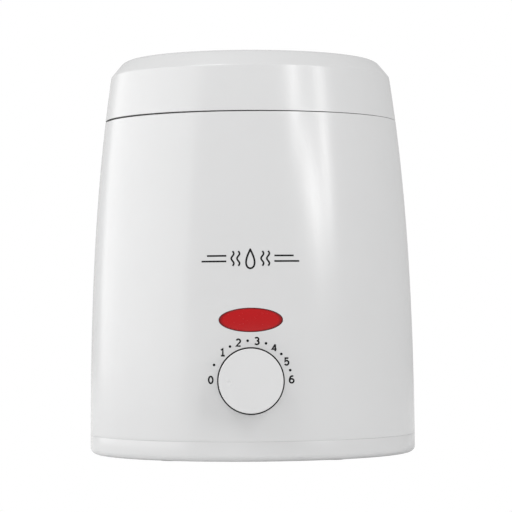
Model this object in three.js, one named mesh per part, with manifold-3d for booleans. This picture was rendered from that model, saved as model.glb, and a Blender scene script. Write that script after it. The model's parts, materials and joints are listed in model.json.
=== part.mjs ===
// Salon wax warmer: a tapered plastic casing holds a heated aluminium chamber and a lift-out wax pot, under a tall
// lid. Millimetres, +Z up, and the control knob faces -Y. The origin lies on the surface that the feet stand on,
// halfway between the knob's face and the rearmost point of the mains inlet.
import * as THREE from "three";
import { mergeVertices } from "three/addons/utils/BufferGeometryUtils.js";
import Module from "manifold-3d";

const wasm = await Module();
wasm.setup();

// ---------------------------------------------------------------- driving dimensions

const TOUCH = 0.3; // gap left between pieces that touch
const TOTAL_HEIGHT = 182;
const FOOT_STANDOFF = 1.5; // underside of the base cover above the resting surface

// Outer wall: vertical at FLARE_HEIGHT, narrowing with the cube of the height above it.
const BASE_RADIUS = 75;
const FLARE_HEIGHT = -36;
const PARTING_HEIGHT = 154; // lower edge of the lid
const PARTING_NARROWING = 7.8;
const WALL = 2.5;
const RING_SEGMENTS = 40;
const POT_SEGMENTS = 36;

// Casing
const SPLIT_HEIGHT = 10; // joint between the base cover and the body shell
const RIM_HEIGHT = 153.6;
const RIM_EDGE = 0.2;
const RIM_INNER_RADIUS = 64.2;
const DECK_HEIGHT = 149;
const LEDGE_RADIUS = 59.5;
const LEDGE_HEIGHT = 146.5;
const MOUTH_RADIUS = 55.5;
const BASE_FILLET = 2.7;
const FLOOR_TOP = 4;
const LIP_HEIGHT = 4; // the cover's locating lip inside the body shell
const LIP_THICKNESS = 1.6;
const VENT_LENGTH = 24;
const VENT_WIDTH = 2.6;
const VENT_Y = -26;
const VENT_COLUMNS = [3.5, 10.5, 17.5, 24.5]; // on both sides of the middle

// Lid
const LID_WALL = 2.3;
const CREASE_HEIGHT = 174.3; // where the lid's side meets its sloping shoulder
const SHOULDER_RADIUS = 59.9; // top of the straight part of the shoulder
const SHOULDER_HEIGHT = 179.8;
const CROWN_RADIUS = 57; // edge of the lid's nearly flat top
const CROWN_RISE = 0.5;
const SKIRT_OUTER = 63.6;
const SKIRT_INNER = 61.4;

// Heating chamber, wax pot and lifting lugs
const CHAMBER_RADIUS = 51.3; // inside
const CHAMBER_WALL = 1.5;
const CHAMBER_BOTTOM = 56;
const CHAMBER_FLOOR = 58.5;
const FLANGE_BOTTOM = 147.8;
const FLANGE_TOP = 149.3;
const FLANGE_RADIUS = LEDGE_RADIUS - 0.6;
const POT_RADIUS = 50.4; // outside
const POT_WALL = 1;
const POT_RIM_HEIGHT = 166;
const POT_BEAD = 1.3;
const LUG_INNER = POT_RADIUS + TOUCH;
const LUG_THICKNESS = 1.2;
const LUG_REACH = 59.4;
const LUG_BOTTOM = 151.5;
const LUG_TOP = 161.8;
const LUG_LIP = 157.6;
const LUG_HALF_WIDTH = 9;
const RIVET_SPACING = 9;
const RIVET_HEIGHT = 155.5;

// Front controls
const KNOB_HEIGHT = 36.6;
const KNOB_FACE = 83.5; // distance of the knob's face from the casing's axis
const KNOB_RADIUS = 14;
const KNOB_DRAFT = 0.1;
const KNOB_EDGE = 0.5;
const KNOB_WALL = 1.8;
const KNOB_HUB = 4.6;
const DIMPLE_X = -9.5; // pointer dimple, on the left while the knob is at rest
const POCKET_RADIUS = 14.4;
const POCKET_FLOOR = 70.5; // distance from the axis
const POCKET_WALL = 2.3;
const SHAFT_RADIUS = 3;
const SHAFT_FLAT = 2.2; // distance of the shaft's flat from its axis
const SHAFT_SEAT = POCKET_FLOOR + 5.2;
const SLEEVE_RADIUS = 4.7; // threaded sleeve of the thermostat
const LAMP_HEIGHT = 62.7;
const LAMP_HALF_WIDTH = 13.75;
const LAMP_HALF_HEIGHT = 5.05;
const LAMP_GAP = 0.2;
const LAMP_FLANGE = 1.6;

// Base fasteners and feet
const POST_RING = 64; // radius on which the four screw posts stand
const POST_RADIUS = 4;
const POST_TOP = 34;
const PILOT_HOLE = 1.6;
const WELL_RADIUS = 5;
const WELL_DEPTH = 2.6; // thickness of plastic under each screw head
const FOOT_RING = 50;
const FOOT_RADIUS = 7;
const FOOT_HEIGHT = 2.5;

// Chamber support, fuse and thermostat bulb
const STRAP_BOTTOM = 48.3;
const STRAP_THICKNESS = 1.5;
const STRAP_WIDTH = 12;
const STRAP_SCREW_X = 64;
const STRAP_SEAT_TOP = 61;
const STUD_RADIUS = 2.5;
const FUSE_X = -24;
const FUSE_Y = -24;
const FUSE_RADIUS = 2;
const FUSE_SCREW_OFFSET = 8;
const FUSE_BOSS_BOTTOM = CHAMBER_BOTTOM - 2.6;
const BULB_X = 22;
const BULB_RADIUS = 2.4;

// Mains inlet and terminal block
const INLET_HEIGHT = 27;
const INLET_SEAT = 72.4; // flat seat for the inlet's flange, distance from the axis
const INLET_FLANGE = 2;
const INLET_BACK = 51;
const SOCKET_BACK = 57;
const PIN_SPACING = 8.6;
const PIN_RADIUS = 1.2;
const INLET_SCREW_X = 13.5;
const INLET_SCREW_HEAD = 1.5;
const INLET_SCREW_SEAT = INLET_SEAT + INLET_FLANGE + 2 * TOUCH;
const BLOCK_X = -26; // terminal block on the base cover's floor
const BLOCK_Y = 22;
const BLOCK_BASE = FLOOR_TOP + TOUCH;

// ---------------------------------------------------------------- materials

const finish = (color, roughness, metalness) => new THREE.MeshStandardMaterial({ color, roughness, metalness });
const MATERIALS = {
  casing: finish(0xe4e4e4, 0.35, 0),
  knob: finish(0xe9e9e9, 0.35, 0),
  lens: finish(0xbe1a20, 0.2, 0),
  rubber: finish(0x8a8c8e, 0.8, 0),
  aluminium: finish(0xc9cbcd, 0.35, 1),
  steel: finish(0x9da0a3, 0.4, 1),
  brass: finish(0xc2a25a, 0.35, 1),
  copper: finish(0xb87343, 0.35, 1),
  silicone: finish(0xb6523c, 0.7, 0),
  insulation: finish(0xd9d6cb, 0.95, 0),
  phenolic: finish(0x2b2623, 0.5, 0),
  nylon: finish(0xd8d5c8, 0.5, 0),
  inlet: finish(0x1c1c1d, 0.45, 0),
  glass: finish(0xe9b08a, 0.1, 0),
  brownWire: finish(0x6a3a1f, 0.6, 0),
  blueWire: finish(0x2f5fae, 0.6, 0),
};

// ---------------------------------------------------------------- shape helpers

// A closed three.js geometry as a manifold-3d solid.
function toSolid(geometry) {
  const flat = geometry.index ? geometry.toNonIndexed() : geometry;
  const bare = new THREE.BufferGeometry().setAttribute("position", flat.getAttribute("position"));
  const merged = mergeVertices(bare, 1e-3);
  const corners = [];
  for (let i = 0; i < merged.index.count; i += 3) {
    const [a, b, c] = [0, 1, 2].map((k) => merged.index.getX(i + k));
    if (a !== b && b !== c && c !== a) corners.push(a, b, c);
  }
  const vertProperties = merged.attributes.position.array;
  return new wasm.Manifold(new wasm.Mesh({ numProp: 3, vertProperties, triVerts: new Uint32Array(corners) }));
}

function toGeometry(solid) {
  const { vertProperties, triVerts } = solid.getMesh();
  return new THREE.BufferGeometry()
    .setAttribute("position", new THREE.BufferAttribute(vertProperties, 3))
    .setIndex(new THREE.BufferAttribute(triVerts, 1));
}

const joined = (...solids) => solids.reduce((all, next) => all.add(next));
const cut = (body, ...tools) => tools.reduce((left, tool) => left.subtract(tool), body);

// Solid of revolution about Z, from a list of [radius, z] that closes on itself or starts and ends on the axis.
function revolved(profile, segments = RING_SEGMENTS) {
  const points = profile.map(([radius, z]) => new THREE.Vector2(radius, z));
  const open = points[0].x > 0 || points.at(-1).x > 0;
  if (THREE.ShapeUtils.area(points) < 0) points.reverse();
  if (open) points.push(points[0].clone());
  return toSolid(new THREE.LatheGeometry(points, segments).rotateX(Math.PI / 2));
}

// Round stretch of a profile, from angle a0 to a1 in degrees.
function arc(radius, z, size, a0, a1, steps) {
  return Array.from({ length: steps + 1 }, (_, i) => {
    const angle = THREE.MathUtils.degToRad(a0 + ((a1 - a0) * i) / steps);
    return [radius + size * Math.cos(angle), z + size * Math.sin(angle)];
  });
}

const wallRadius = (z) =>
  BASE_RADIUS - PARTING_NARROWING * ((z - FLARE_HEIGHT) / (PARTING_HEIGHT - FLARE_HEIGHT)) ** 3;

// Points down or up the outer wall's curve, moved inwards by inset.
const wallLine = (z0, z1, inset, steps) =>
  Array.from({ length: steps + 1 }, (_, i) => {
    const z = z0 + ((z1 - z0) * i) / steps;
    return [wallRadius(z) - inset, z];
  });

function rod(radius, z0, z1, x = 0, y = 0, segments = 16) {
  const geometry = new THREE.CylinderGeometry(radius, radius, z1 - z0, segments).rotateX(Math.PI / 2);
  return toSolid(geometry.translate(x, y, (z0 + z1) / 2));
}

const hole = (radius, z0, z1, x = 0, y = 0) => rod(radius, z0, z1, x, y, 10);

const ring = (inner, outer, z0, z1) =>
  revolved([[inner, z0], [outer, z0], [outer, z1], [inner, z1]], POT_SEGMENTS);

function box(x0, x1, y0, y1, z0, z1) {
  const geometry = new THREE.BoxGeometry(x1 - x0, y1 - y0, z1 - z0);
  return toSolid(geometry.translate((x0 + x1) / 2, (y0 + y1) / 2, (z0 + z1) / 2));
}

// Flat outline pushed from z0 to z1.
function slab(shape, z0, z1, curveSegments = 10) {
  const geometry = new THREE.ExtrudeGeometry(shape, { depth: z1 - z0, bevelEnabled: false, curveSegments });
  return toSolid(geometry.translate(0, 0, z0));
}

function ellipse(halfWidth, halfHeight) {
  return new THREE.Shape().absellipse(0, 0, halfWidth, halfHeight, 0, 2 * Math.PI);
}

function stadium(length, width) {
  const half = (length - width) / 2;
  const shape = new THREE.Shape().absarc(half, 0, width / 2, -Math.PI / 2, Math.PI / 2);
  return shape.absarc(-half, 0, width / 2, Math.PI / 2, (3 * Math.PI) / 2).closePath();
}

// Rod along a smooth curve through the points.
function cable(points, radius, steps = 14, sides = 6) {
  const section = new THREE.Shape(
    Array.from({ length: sides }, (_, i) => {
      const angle = (2 * Math.PI * i) / sides;
      return new THREE.Vector2(radius * Math.cos(angle), radius * Math.sin(angle));
    }),
  );
  const route = points.map((point) => new THREE.Vector3(...point));
  const extrudePath = new THREE.CatmullRomCurve3(route, false, "centripetal");
  return new THREE.ExtrudeGeometry(section, { steps, extrudePath });
}

// Turns a solid drawn as seen from the front or rear (x right, y up, z to the viewer) into the casing's frame.
const facingFront = (solid) => solid.rotate([90, 0, 0]);
const facingRear = (solid) => solid.rotate([-90, 0, 0]);
const alongX = (solid) => solid.rotate([0, 90, 0]);
const bothSides = (make) => [-1, 1].map(make);
const span = (side, near, far) => (side > 0 ? [near, far] : [-far, -near]);

// ---------------------------------------------------------------- scene graph helpers

const warmer = new THREE.Group();
const frontControls = new THREE.Group(); // local +Z points out of the front, +Y up
frontControls.position.z = KNOB_HEIGHT;
frontControls.rotation.x = Math.PI / 2;
const rearInlet = new THREE.Group(); // local +Z points out of the rear
rearInlet.position.z = INLET_HEIGHT;
rearInlet.rotation.x = -Math.PI / 2;
warmer.add(frontControls, rearInlet);

function place(name, shape, material, parent = warmer, position = [0, 0, 0], rotation = [0, 0, 0]) {
  const geometry = shape.isBufferGeometry ? shape : toGeometry(shape);
  const mesh = new THREE.Mesh(geometry, MATERIALS[material]);
  mesh.name = name;
  mesh.position.set(...position);
  mesh.rotation.set(...rotation);
  parent.add(mesh);
}

// A slotted screw standing on its head's underside at z = 0, thread upwards.
function screw(headRadius, headHeight, shankRadius, shankLength) {
  const slot = box(-headRadius, headRadius, -0.35, 0.35, -headHeight, 0.6 - headHeight);
  return joined(cut(rod(headRadius, -headHeight, 0), slot), hole(shankRadius, -0.1, shankLength));
}

const hexNut = (acrossFlats, height, bore) =>
  cut(rod(acrossFlats / Math.sqrt(3), 0, height, 0, 0, 6), rod(bore, -1, height + 1));

const onRing = (radius, angle) => [radius * Math.cos(angle), radius * Math.sin(angle)];
const QUARTERS = [45, 135, 225, 315].map(THREE.MathUtils.degToRad);
const SIDES = [["left", -1], ["right", 1]];

// ---------------------------------------------------------------- casing

const SHELL_FOOT = SPLIT_HEIGHT + TOUCH / 2;

function screwPost(angle) {
  const rib = box(POST_RING, BASE_RADIUS, -1.2, 1.2, SHELL_FOOT + 4.5, POST_TOP);
  const post = rod(POST_RADIUS, SHELL_FOOT + TOUCH, POST_TOP, POST_RING, 0);
  return joined(post, rib).rotate([0, 0, THREE.MathUtils.radToDeg(angle)]);
}

function bodyShell() {
  const withinWall = revolved([
    [0, SHELL_FOOT],
    ...wallLine(SHELL_FOOT, DECK_HEIGHT, WALL / 2, 5),
    [0, DECK_HEIGHT],
  ]);
  const skin = revolved([
    ...wallLine(SHELL_FOOT, RIM_HEIGHT - RIM_EDGE, 0, 6),
    [wallRadius(RIM_HEIGHT) - RIM_EDGE, RIM_HEIGHT],
    [RIM_INNER_RADIUS, RIM_HEIGHT],
    [RIM_INNER_RADIUS, DECK_HEIGHT],
    [LEDGE_RADIUS, DECK_HEIGHT],
    [LEDGE_RADIUS, LEDGE_HEIGHT],
    [MOUTH_RADIUS, LEDGE_HEIGHT],
    [MOUTH_RADIUS, LEDGE_HEIGHT - WALL],
    [LEDGE_RADIUS + WALL, LEDGE_HEIGHT - WALL],
    [LEDGE_RADIUS + WALL, DECK_HEIGHT - WALL],
    ...wallLine(DECK_HEIGHT - WALL, SHELL_FOOT, WALL, 4),
  ]);
  const pocketWall = rod(POCKET_RADIUS + 2, POCKET_FLOOR - POCKET_WALL, BASE_RADIUS + 1, 0, 0, 36);
  const inletWall = box(-20, 20, INLET_SEAT - WALL, BASE_RADIUS, INLET_HEIGHT - 12.5, INLET_HEIGHT + 12.5);
  const strapSeats = bothSides((side) => {
    const underside = STRAP_BOTTOM + STRAP_THICKNESS + TOUCH;
    return box(...span(side, 58, BASE_RADIUS), -STRAP_WIDTH / 2, STRAP_WIDTH / 2, underside, STRAP_SEAT_TOP);
  });
  const cup = facingFront(pocketWall).translate([0, 0, KNOB_HEIGHT]);
  const inner = joined(cup, inletWall, ...QUARTERS.map(screwPost), ...strapSeats);

  const pocket = rod(POCKET_RADIUS, POCKET_FLOOR, BASE_RADIUS + 5, 0, 0, 36);
  const sleeveHole = rod(SLEEVE_RADIUS + 0.4, POCKET_FLOOR - 5, POCKET_FLOOR + 1);
  const lampOpening = slab(ellipse(LAMP_HALF_WIDTH + LAMP_GAP, LAMP_HALF_HEIGHT + LAMP_GAP), 60, 80);
  const inletRecess = box(-17.6, 17.6, INLET_SEAT, BASE_RADIUS + 1, INLET_HEIGHT - 9.1, INLET_HEIGHT + 9.1);
  const inletHoles = [
    slab(stadium(20.5, 13.1), 60, 80),
    ...bothSides((side) => hole(1.1, 66, 74, side * INLET_SCREW_X)),
  ];
  return cut(
    joined(skin, inner.intersect(withinWall)),
    facingFront(joined(pocket, sleeveHole)).translate([0, 0, KNOB_HEIGHT]),
    facingFront(lampOpening).translate([0, 0, LAMP_HEIGHT]),
    inletRecess,
    facingRear(joined(...inletHoles)).translate([0, 0, INLET_HEIGHT]),
    ...QUARTERS.map((angle) => hole(PILOT_HOLE, SHELL_FOOT - 1, SHELL_FOOT + 16, ...onRing(POST_RING, angle))),
    ...bothSides((side) => hole(PILOT_HOLE, STRAP_BOTTOM, STRAP_SEAT_TOP - 1.5, side * STRAP_SCREW_X)),
  );
}
place("body_shell", bodyShell(), "casing");

function baseCover() {
  const top = SPLIT_HEIGHT - TOUCH / 2;
  const outer = wallRadius(top);
  const lipOuter = outer - WALL - TOUCH;
  const lipInner = lipOuter - LIP_THICKNESS;
  const tray = revolved([
    [0, FOOT_STANDOFF],
    ...arc(outer - BASE_FILLET, FOOT_STANDOFF + BASE_FILLET, BASE_FILLET, -90, 0, 4),
    [outer, top],
    [lipOuter, top],
    [lipOuter, top + LIP_HEIGHT],
    [lipInner, top + LIP_HEIGHT],
    [lipInner, FLOOR_TOP + 2],
    [lipInner - 2, FLOOR_TOP],
    [0, FLOOR_TOP],
  ]);
  const atPosts = (make) => QUARTERS.map((angle) => make(...onRing(POST_RING, angle)));
  const vents = bothSides((side) =>
    VENT_COLUMNS.map((x) => {
      const vent = slab(stadium(VENT_LENGTH, VENT_WIDTH), 0, SPLIT_HEIGHT, 4).rotate([0, 0, 90]);
      return vent.translate([side * x, VENT_Y, 0]);
    }),
  ).flat();
  return cut(
    joined(tray, ...atPosts((x, y) => rod(WELL_RADIUS, FOOT_STANDOFF + 1, SPLIT_HEIGHT, x, y))),
    ...atPosts((x, y) => rod(3.7, 0, SPLIT_HEIGHT - WELL_DEPTH, x, y)),
    ...atPosts((x, y) => hole(1.9, 0, SPLIT_HEIGHT + 1, x, y)),
    ...QUARTERS.map((angle) => rod(FOOT_RADIUS + TOUCH, 0, FOOT_HEIGHT + TOUCH, ...onRing(FOOT_RING, angle))),
    hole(1.1, 0, SPLIT_HEIGHT, BLOCK_X, BLOCK_Y),
    ...vents,
  );
}
place("base_cover", baseCover(), "casing");

const footShape = revolved(
  [[0, 0], [FOOT_RADIUS - 1, 0], [FOOT_RADIUS, 0.8], [FOOT_RADIUS, FOOT_HEIGHT], [0, FOOT_HEIGHT]],
  16,
);
["rear_right", "rear_left", "front_left", "front_right"].forEach((corner, i) => {
  place(`rubber_foot_${corner}`, footShape, "rubber", warmer, [...onRing(FOOT_RING, QUARTERS[i]), 0]);
});

const baseScrew = screw(3.2, 2, 1.3, 14);
QUARTERS.forEach((angle, i) => {
  const seat = SPLIT_HEIGHT - WELL_DEPTH - TOUCH;
  place(`base_screw_${i + 1}`, baseScrew, "steel", warmer, [...onRing(POST_RING, angle), seat]);
});

// ---------------------------------------------------------------- lid

function lid() {
  const outside = [
    [0, TOTAL_HEIGHT],
    [CROWN_RADIUS / 2, TOTAL_HEIGHT - CROWN_RISE / 4],
    [CROWN_RADIUS, TOTAL_HEIGHT - CROWN_RISE],
    [SHOULDER_RADIUS - 1.1, SHOULDER_HEIGHT + 0.95],
    [SHOULDER_RADIUS, SHOULDER_HEIGHT],
    ...wallLine(CREASE_HEIGHT, PARTING_HEIGHT, 0, 3),
  ];
  const inside = [
    [SKIRT_OUTER, PARTING_HEIGHT],
    [SKIRT_OUTER, DECK_HEIGHT + TOUCH],
    [SKIRT_INNER, DECK_HEIGHT + TOUCH],
    [SKIRT_INNER, PARTING_HEIGHT + 2],
    ...wallLine(PARTING_HEIGHT + 2, CREASE_HEIGHT - 6, LID_WALL, 1),
    [wallRadius(CREASE_HEIGHT) - LID_WALL, CREASE_HEIGHT - 0.8],
    [SHOULDER_RADIUS - LID_WALL, SHOULDER_HEIGHT - 1.2],
    [CROWN_RADIUS - 2, TOTAL_HEIGHT - CROWN_RISE - LID_WALL],
    [0, TOTAL_HEIGHT - LID_WALL],
  ];
  return revolved([...outside, ...inside]);
}
place("lid", lid(), "casing");

// ---------------------------------------------------------------- heating chamber, heater and insulation

const CHAMBER_OUTER = CHAMBER_RADIUS + CHAMBER_WALL;
const HEATER_INNER = CHAMBER_OUTER + TOUCH;
const HEATER_OUTER = HEATER_INNER + 1.5;
const CLAMP_INNER = HEATER_OUTER + TOUCH;
const CLAMP_OUTER = CLAMP_INNER + 0.8;
const CLAMP_MIDDLE = 91;
const SLEEVE_INNER = CLAMP_OUTER + 0.6;

function heatingChamber() {
  const cup = revolved(
    [
      [0, CHAMBER_BOTTOM],
      ...arc(CHAMBER_OUTER - 4, CHAMBER_BOTTOM + 4, 4, -90, 0, 3),
      [CHAMBER_OUTER, FLANGE_BOTTOM],
      [FLANGE_RADIUS, FLANGE_BOTTOM],
      [FLANGE_RADIUS, FLANGE_TOP],
      [CHAMBER_RADIUS + 0.6, FLANGE_TOP],
      [CHAMBER_RADIUS, FLANGE_TOP - 0.6],
      ...arc(CHAMBER_RADIUS - 3, CHAMBER_FLOOR + 3, 3, 0, -90, 3),
      [0, CHAMBER_FLOOR],
    ],
    POT_SEGMENTS,
  );
  const bossY = FUSE_Y + FUSE_SCREW_OFFSET;
  const stud = rod(STUD_RADIUS, STRAP_BOTTOM - 6, CHAMBER_BOTTOM + 1, 0, 0, 12);
  const fuseBoss = rod(3.4, FUSE_BOSS_BOTTOM, CHAMBER_BOTTOM + 1, FUSE_X, bossY, 12);
  const tappedHole = hole(1.5, FUSE_BOSS_BOTTOM - 1, CHAMBER_BOTTOM + 1.2, FUSE_X, bossY);
  return cut(joined(cup, stud, fuseBoss), tappedHole);
}
place("heating_chamber", heatingChamber(), "aluminium");

const gasket = ring(MOUTH_RADIUS + 0.4, FLANGE_RADIUS, LEDGE_HEIGHT + TOUCH, FLANGE_BOTTOM - TOUCH);
place("chamber_gasket", gasket, "silicone");

const rearGap = (half) => box(-half, half, 0, 80, 0, 160);
const leadTabs = bothSides((side) =>
  box(side * 8 - 1.5, side * 8 + 1.5, HEATER_OUTER - 1, HEATER_OUTER + 2.6, 70, 71.2),
);
const heaterSleeve = cut(ring(HEATER_INNER, HEATER_OUTER, 66, 116), rearGap(4));
place("heater_band", joined(heaterSleeve, ...leadTabs), "silicone");

function heaterClamp() {
  const [low, high] = [CLAMP_MIDDLE - 5, CLAMP_MIDDLE + 5];
  const band = cut(ring(CLAMP_INNER, CLAMP_OUTER, low, high), rearGap(5));
  const ears = bothSides((side) => box(...span(side, 5, 6), CLAMP_INNER - 0.2, CLAMP_OUTER + 8, low, high));
  return cut(joined(band, ...ears), alongX(hole(1.8, -10, 10)).translate([0, CLAMP_OUTER + 4.5, CLAMP_MIDDLE]));
}
place("heater_clamp", heaterClamp(), "steel");
const clampAxis = [CLAMP_OUTER + 4.5, CLAMP_MIDDLE];
const turnedToX = [0, Math.PI / 2, 0];
place("clamp_screw", screw(2.8, 1.8, 1.4, 15.4), "steel", warmer, [-6 - TOUCH, ...clampAxis], turnedToX);
place("clamp_nut", hexNut(5.5, 2.4, 1.7), "steel", warmer, [6 + TOUCH, ...clampAxis], turnedToX);

const sleeveWindow = box(-12, 12, 0, 80, 60, 104);
place("insulation_sleeve", cut(ring(SLEEVE_INNER, SLEEVE_INNER + 4.8, 63, 140), sleeveWindow), "insulation");

// ---------------------------------------------------------------- chamber support and fuse

const supportStrap = cut(
  slab(stadium(2 * STRAP_SCREW_X + 8, STRAP_WIDTH), STRAP_BOTTOM, STRAP_BOTTOM + STRAP_THICKNESS, 5),
  rod(STUD_RADIUS + TOUCH, 40, 60, 0, 0, 12),
  ...bothSides((side) => hole(1.9, 40, 60, side * STRAP_SCREW_X)),
);
place("support_strap", supportStrap, "steel");
place("support_nut", hexNut(8, 4, STUD_RADIUS + TOUCH), "steel", warmer, [0, 0, STRAP_BOTTOM - 4 - TOUCH]);
const strapScrew = screw(3.2, 2, 1.3, 10);
for (const [name, side] of SIDES) {
  place(`strap_screw_${name}`, strapScrew, "steel", warmer, [side * STRAP_SCREW_X, 0, STRAP_BOTTOM - TOUCH]);
}

// A one-shot thermal fuse held against the chamber's underside by a saddle clip and one screw.
const FUSE_HEIGHT = CHAMBER_BOTTOM - TOUCH - FUSE_RADIUS;
const FUSE_LEAD = 15;
const CLIP_THICKNESS = 0.8;
const fuseBody = alongX(joined(rod(FUSE_RADIUS, -5.5, 5.5), rod(0.5, -FUSE_LEAD, FUSE_LEAD, 0, 0, 8)));
place("thermal_fuse", fuseBody, "steel", warmer, [FUSE_X, FUSE_Y, FUSE_HEIGHT]);

function fuseClip() {
  const inner = FUSE_RADIUS + TOUCH;
  const outer = inner + CLIP_THICKNESS;
  const flat = FUSE_BOSS_BOTTOM - TOUCH - FUSE_HEIGHT; // top of the screw flange
  const end = FUSE_SCREW_OFFSET + 3;
  const bend = Math.asin(flat / inner);
  const under = Math.asin((flat - CLIP_THICKNESS) / outer);
  const saddle = new THREE.Shape().moveTo(end, flat).lineTo(inner * Math.cos(bend), flat);
  saddle.absarc(0, 0, inner, bend, -Math.PI, true).lineTo(-outer, 0);
  saddle.absarc(0, 0, outer, Math.PI, 2 * Math.PI + under, false).lineTo(end, flat - CLIP_THICKNESS);
  const strip = slab(saddle.closePath(), -3, 3, 6).rotate([90, 0, 90]);
  return cut(strip, hole(1.7, -9, 9, 0, FUSE_SCREW_OFFSET));
}
place("fuse_clip", fuseClip(), "steel", warmer, [FUSE_X, FUSE_Y, FUSE_HEIGHT]);
const fuseScrewSeat = [FUSE_X, FUSE_Y + FUSE_SCREW_OFFSET, FUSE_BOSS_BOTTOM - 1.1 - 2 * TOUCH];
place("fuse_screw", screw(2.6, 1.6, 1.2, 3.6), "steel", warmer, fuseScrewSeat);

// ---------------------------------------------------------------- wax pot

const POT_BOTTOM = CHAMBER_FLOOR + TOUCH;

function waxPot() {
  const inner = POT_RADIUS - POT_WALL;
  return revolved(
    [
      [0, POT_BOTTOM],
      ...arc(POT_RADIUS - 3.5, POT_BOTTOM + 3.5, 3.5, -90, 0, 3),
      [POT_RADIUS, POT_RIM_HEIGHT - 2 * POT_BEAD],
      ...arc(POT_RADIUS + POT_BEAD - POT_WALL / 2, POT_RIM_HEIGHT - POT_BEAD, POT_BEAD, -110, 150, 6),
      [inner, POT_RIM_HEIGHT - POT_BEAD],
      ...arc(inner - 2.7, POT_BOTTOM + POT_WALL + 2.7, 2.7, 0, -90, 3),
      [0, POT_BOTTOM + POT_WALL],
    ],
    POT_SEGMENTS,
  );
}
place("wax_pot", waxPot(), "aluminium");

// A bent lifting lug, riveted under the pot's bead.
function liftingLug() {
  const bent = revolved(
    [
      [LUG_INNER, LUG_BOTTOM],
      [LUG_INNER + LUG_THICKNESS, LUG_BOTTOM],
      [LUG_INNER + LUG_THICKNESS, LUG_TOP - LUG_THICKNESS],
      [LUG_REACH - LUG_THICKNESS, LUG_TOP - LUG_THICKNESS],
      [LUG_REACH - LUG_THICKNESS, LUG_LIP],
      [LUG_REACH, LUG_LIP],
      [LUG_REACH, LUG_TOP],
      [LUG_INNER, LUG_TOP],
    ],
    POT_SEGMENTS,
  );
  const holes = bothSides((side) =>
    alongX(hole(1.3, 40, 70)).translate([0, (side * RIVET_SPACING) / 2, RIVET_HEIGHT]),
  );
  return cut(bent.intersect(box(40, 70, -LUG_HALF_WIDTH, LUG_HALF_WIDTH, 140, 170)), ...holes);
}
const lug = liftingLug();
const rivet = joined(rod(2.1, 0, 0.9, 0, 0, 12), rod(1, -0.75, 0.1, 0, 0, 8));
for (const [name, side] of SIDES) {
  place(`pot_lug_${name}`, lug, "aluminium", warmer, [0, 0, 0], [0, 0, side > 0 ? 0 : Math.PI]);
  const seat = side * (LUG_INNER + LUG_THICKNESS + TOUCH / 2);
  for (const [end, y] of [["front", -RIVET_SPACING / 2], ["rear", RIVET_SPACING / 2]]) {
    const turn = [0, (side * Math.PI) / 2, 0];
    place(`lug_rivet_${name}_${end}`, rivet, "steel", warmer, [seat, y, RIVET_HEIGHT], turn);
  }
}

// ---------------------------------------------------------------- knob, shaft and thermostat

function knob() {
  const base = POCKET_FLOOR + 0.6;
  const under = KNOB_FACE - KNOB_WALL;
  const edge = KNOB_RADIUS - KNOB_DRAFT - KNOB_EDGE;
  const cap = revolved(
    [
      [0, KNOB_FACE],
      ...arc(edge, KNOB_FACE - KNOB_EDGE, KNOB_EDGE, 90, 0, 3),
      [KNOB_RADIUS, base],
      [KNOB_RADIUS - KNOB_WALL, base],
      [KNOB_RADIUS - KNOB_WALL - 0.3, under],
      [KNOB_HUB, under],
      [KNOB_HUB, SHAFT_SEAT],
      [SHAFT_RADIUS + TOUCH, SHAFT_SEAT],
      [SHAFT_RADIUS + TOUCH, under - 0.6],
      [0, under - 0.6],
    ],
    36,
  );
  const boreFlat = box(-2.2, 2.2, SHAFT_FLAT + TOUCH, SHAFT_RADIUS + 0.8, SHAFT_SEAT, under - 0.1);
  return cut(joined(cap, boreFlat), hole(0.9, KNOB_FACE - 0.5, KNOB_FACE + 1, DIMPLE_X));
}
place("knob", knob(), "knob", frontControls);

const shaftFlat = box(-4, 4, SHAFT_FLAT, 5, POCKET_FLOOR + 5, KNOB_FACE);
const shaft = cut(rod(SHAFT_RADIUS, 58, KNOB_FACE - KNOB_WALL - 1), shaftFlat);
place("thermostat_shaft", shaft, "brass", frontControls);

const THERMOSTAT_FRONT = POCKET_FLOOR - POCKET_WALL - TOUCH;
const THERMOSTAT_BACK = THERMOSTAT_FRONT - 20;
const THERMOSTAT_HALF_HEIGHT = 14.5;

function thermostatBody() {
  const half = THERMOSTAT_HALF_HEIGHT;
  const housing = box(-16.5, 16.5, -half, half, THERMOSTAT_BACK, THERMOSTAT_FRONT - 3);
  const plate = box(-12, 12, -half, half, THERMOSTAT_FRONT - 3.2, THERMOSTAT_FRONT);
  const sleeve = rod(SLEEVE_RADIUS, THERMOSTAT_FRONT - 1, POCKET_FLOOR + 4.4);
  return cut(joined(housing, plate, sleeve), rod(SHAFT_RADIUS + TOUCH, 57, 80));
}
place("thermostat_body", thermostatBody(), "phenolic", frontControls);
const sleeveNut = hexNut(12.5, 2.5, SLEEVE_RADIUS + TOUCH);
place("thermostat_nut", sleeveNut, "brass", frontControls, [0, 0, POCKET_FLOOR + TOUCH]);

const TAB_X = 9;
const TAB_LENGTH = 7.5;
const TAB_DEPTH = THERMOSTAT_BACK + 5;
const TAB_TOP = -THERMOSTAT_HALF_HEIGHT - TOUCH;
const tab = box(-2.4, 2.4, -TAB_LENGTH, 0, -0.4, 0.4);
for (const [name, x] of [["left", -TAB_X], ["pilot", 0], ["right", TAB_X]]) {
  place(`thermostat_tab_${name}`, tab, "brass", frontControls, [x, TAB_TOP, TAB_DEPTH]);
}

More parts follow.
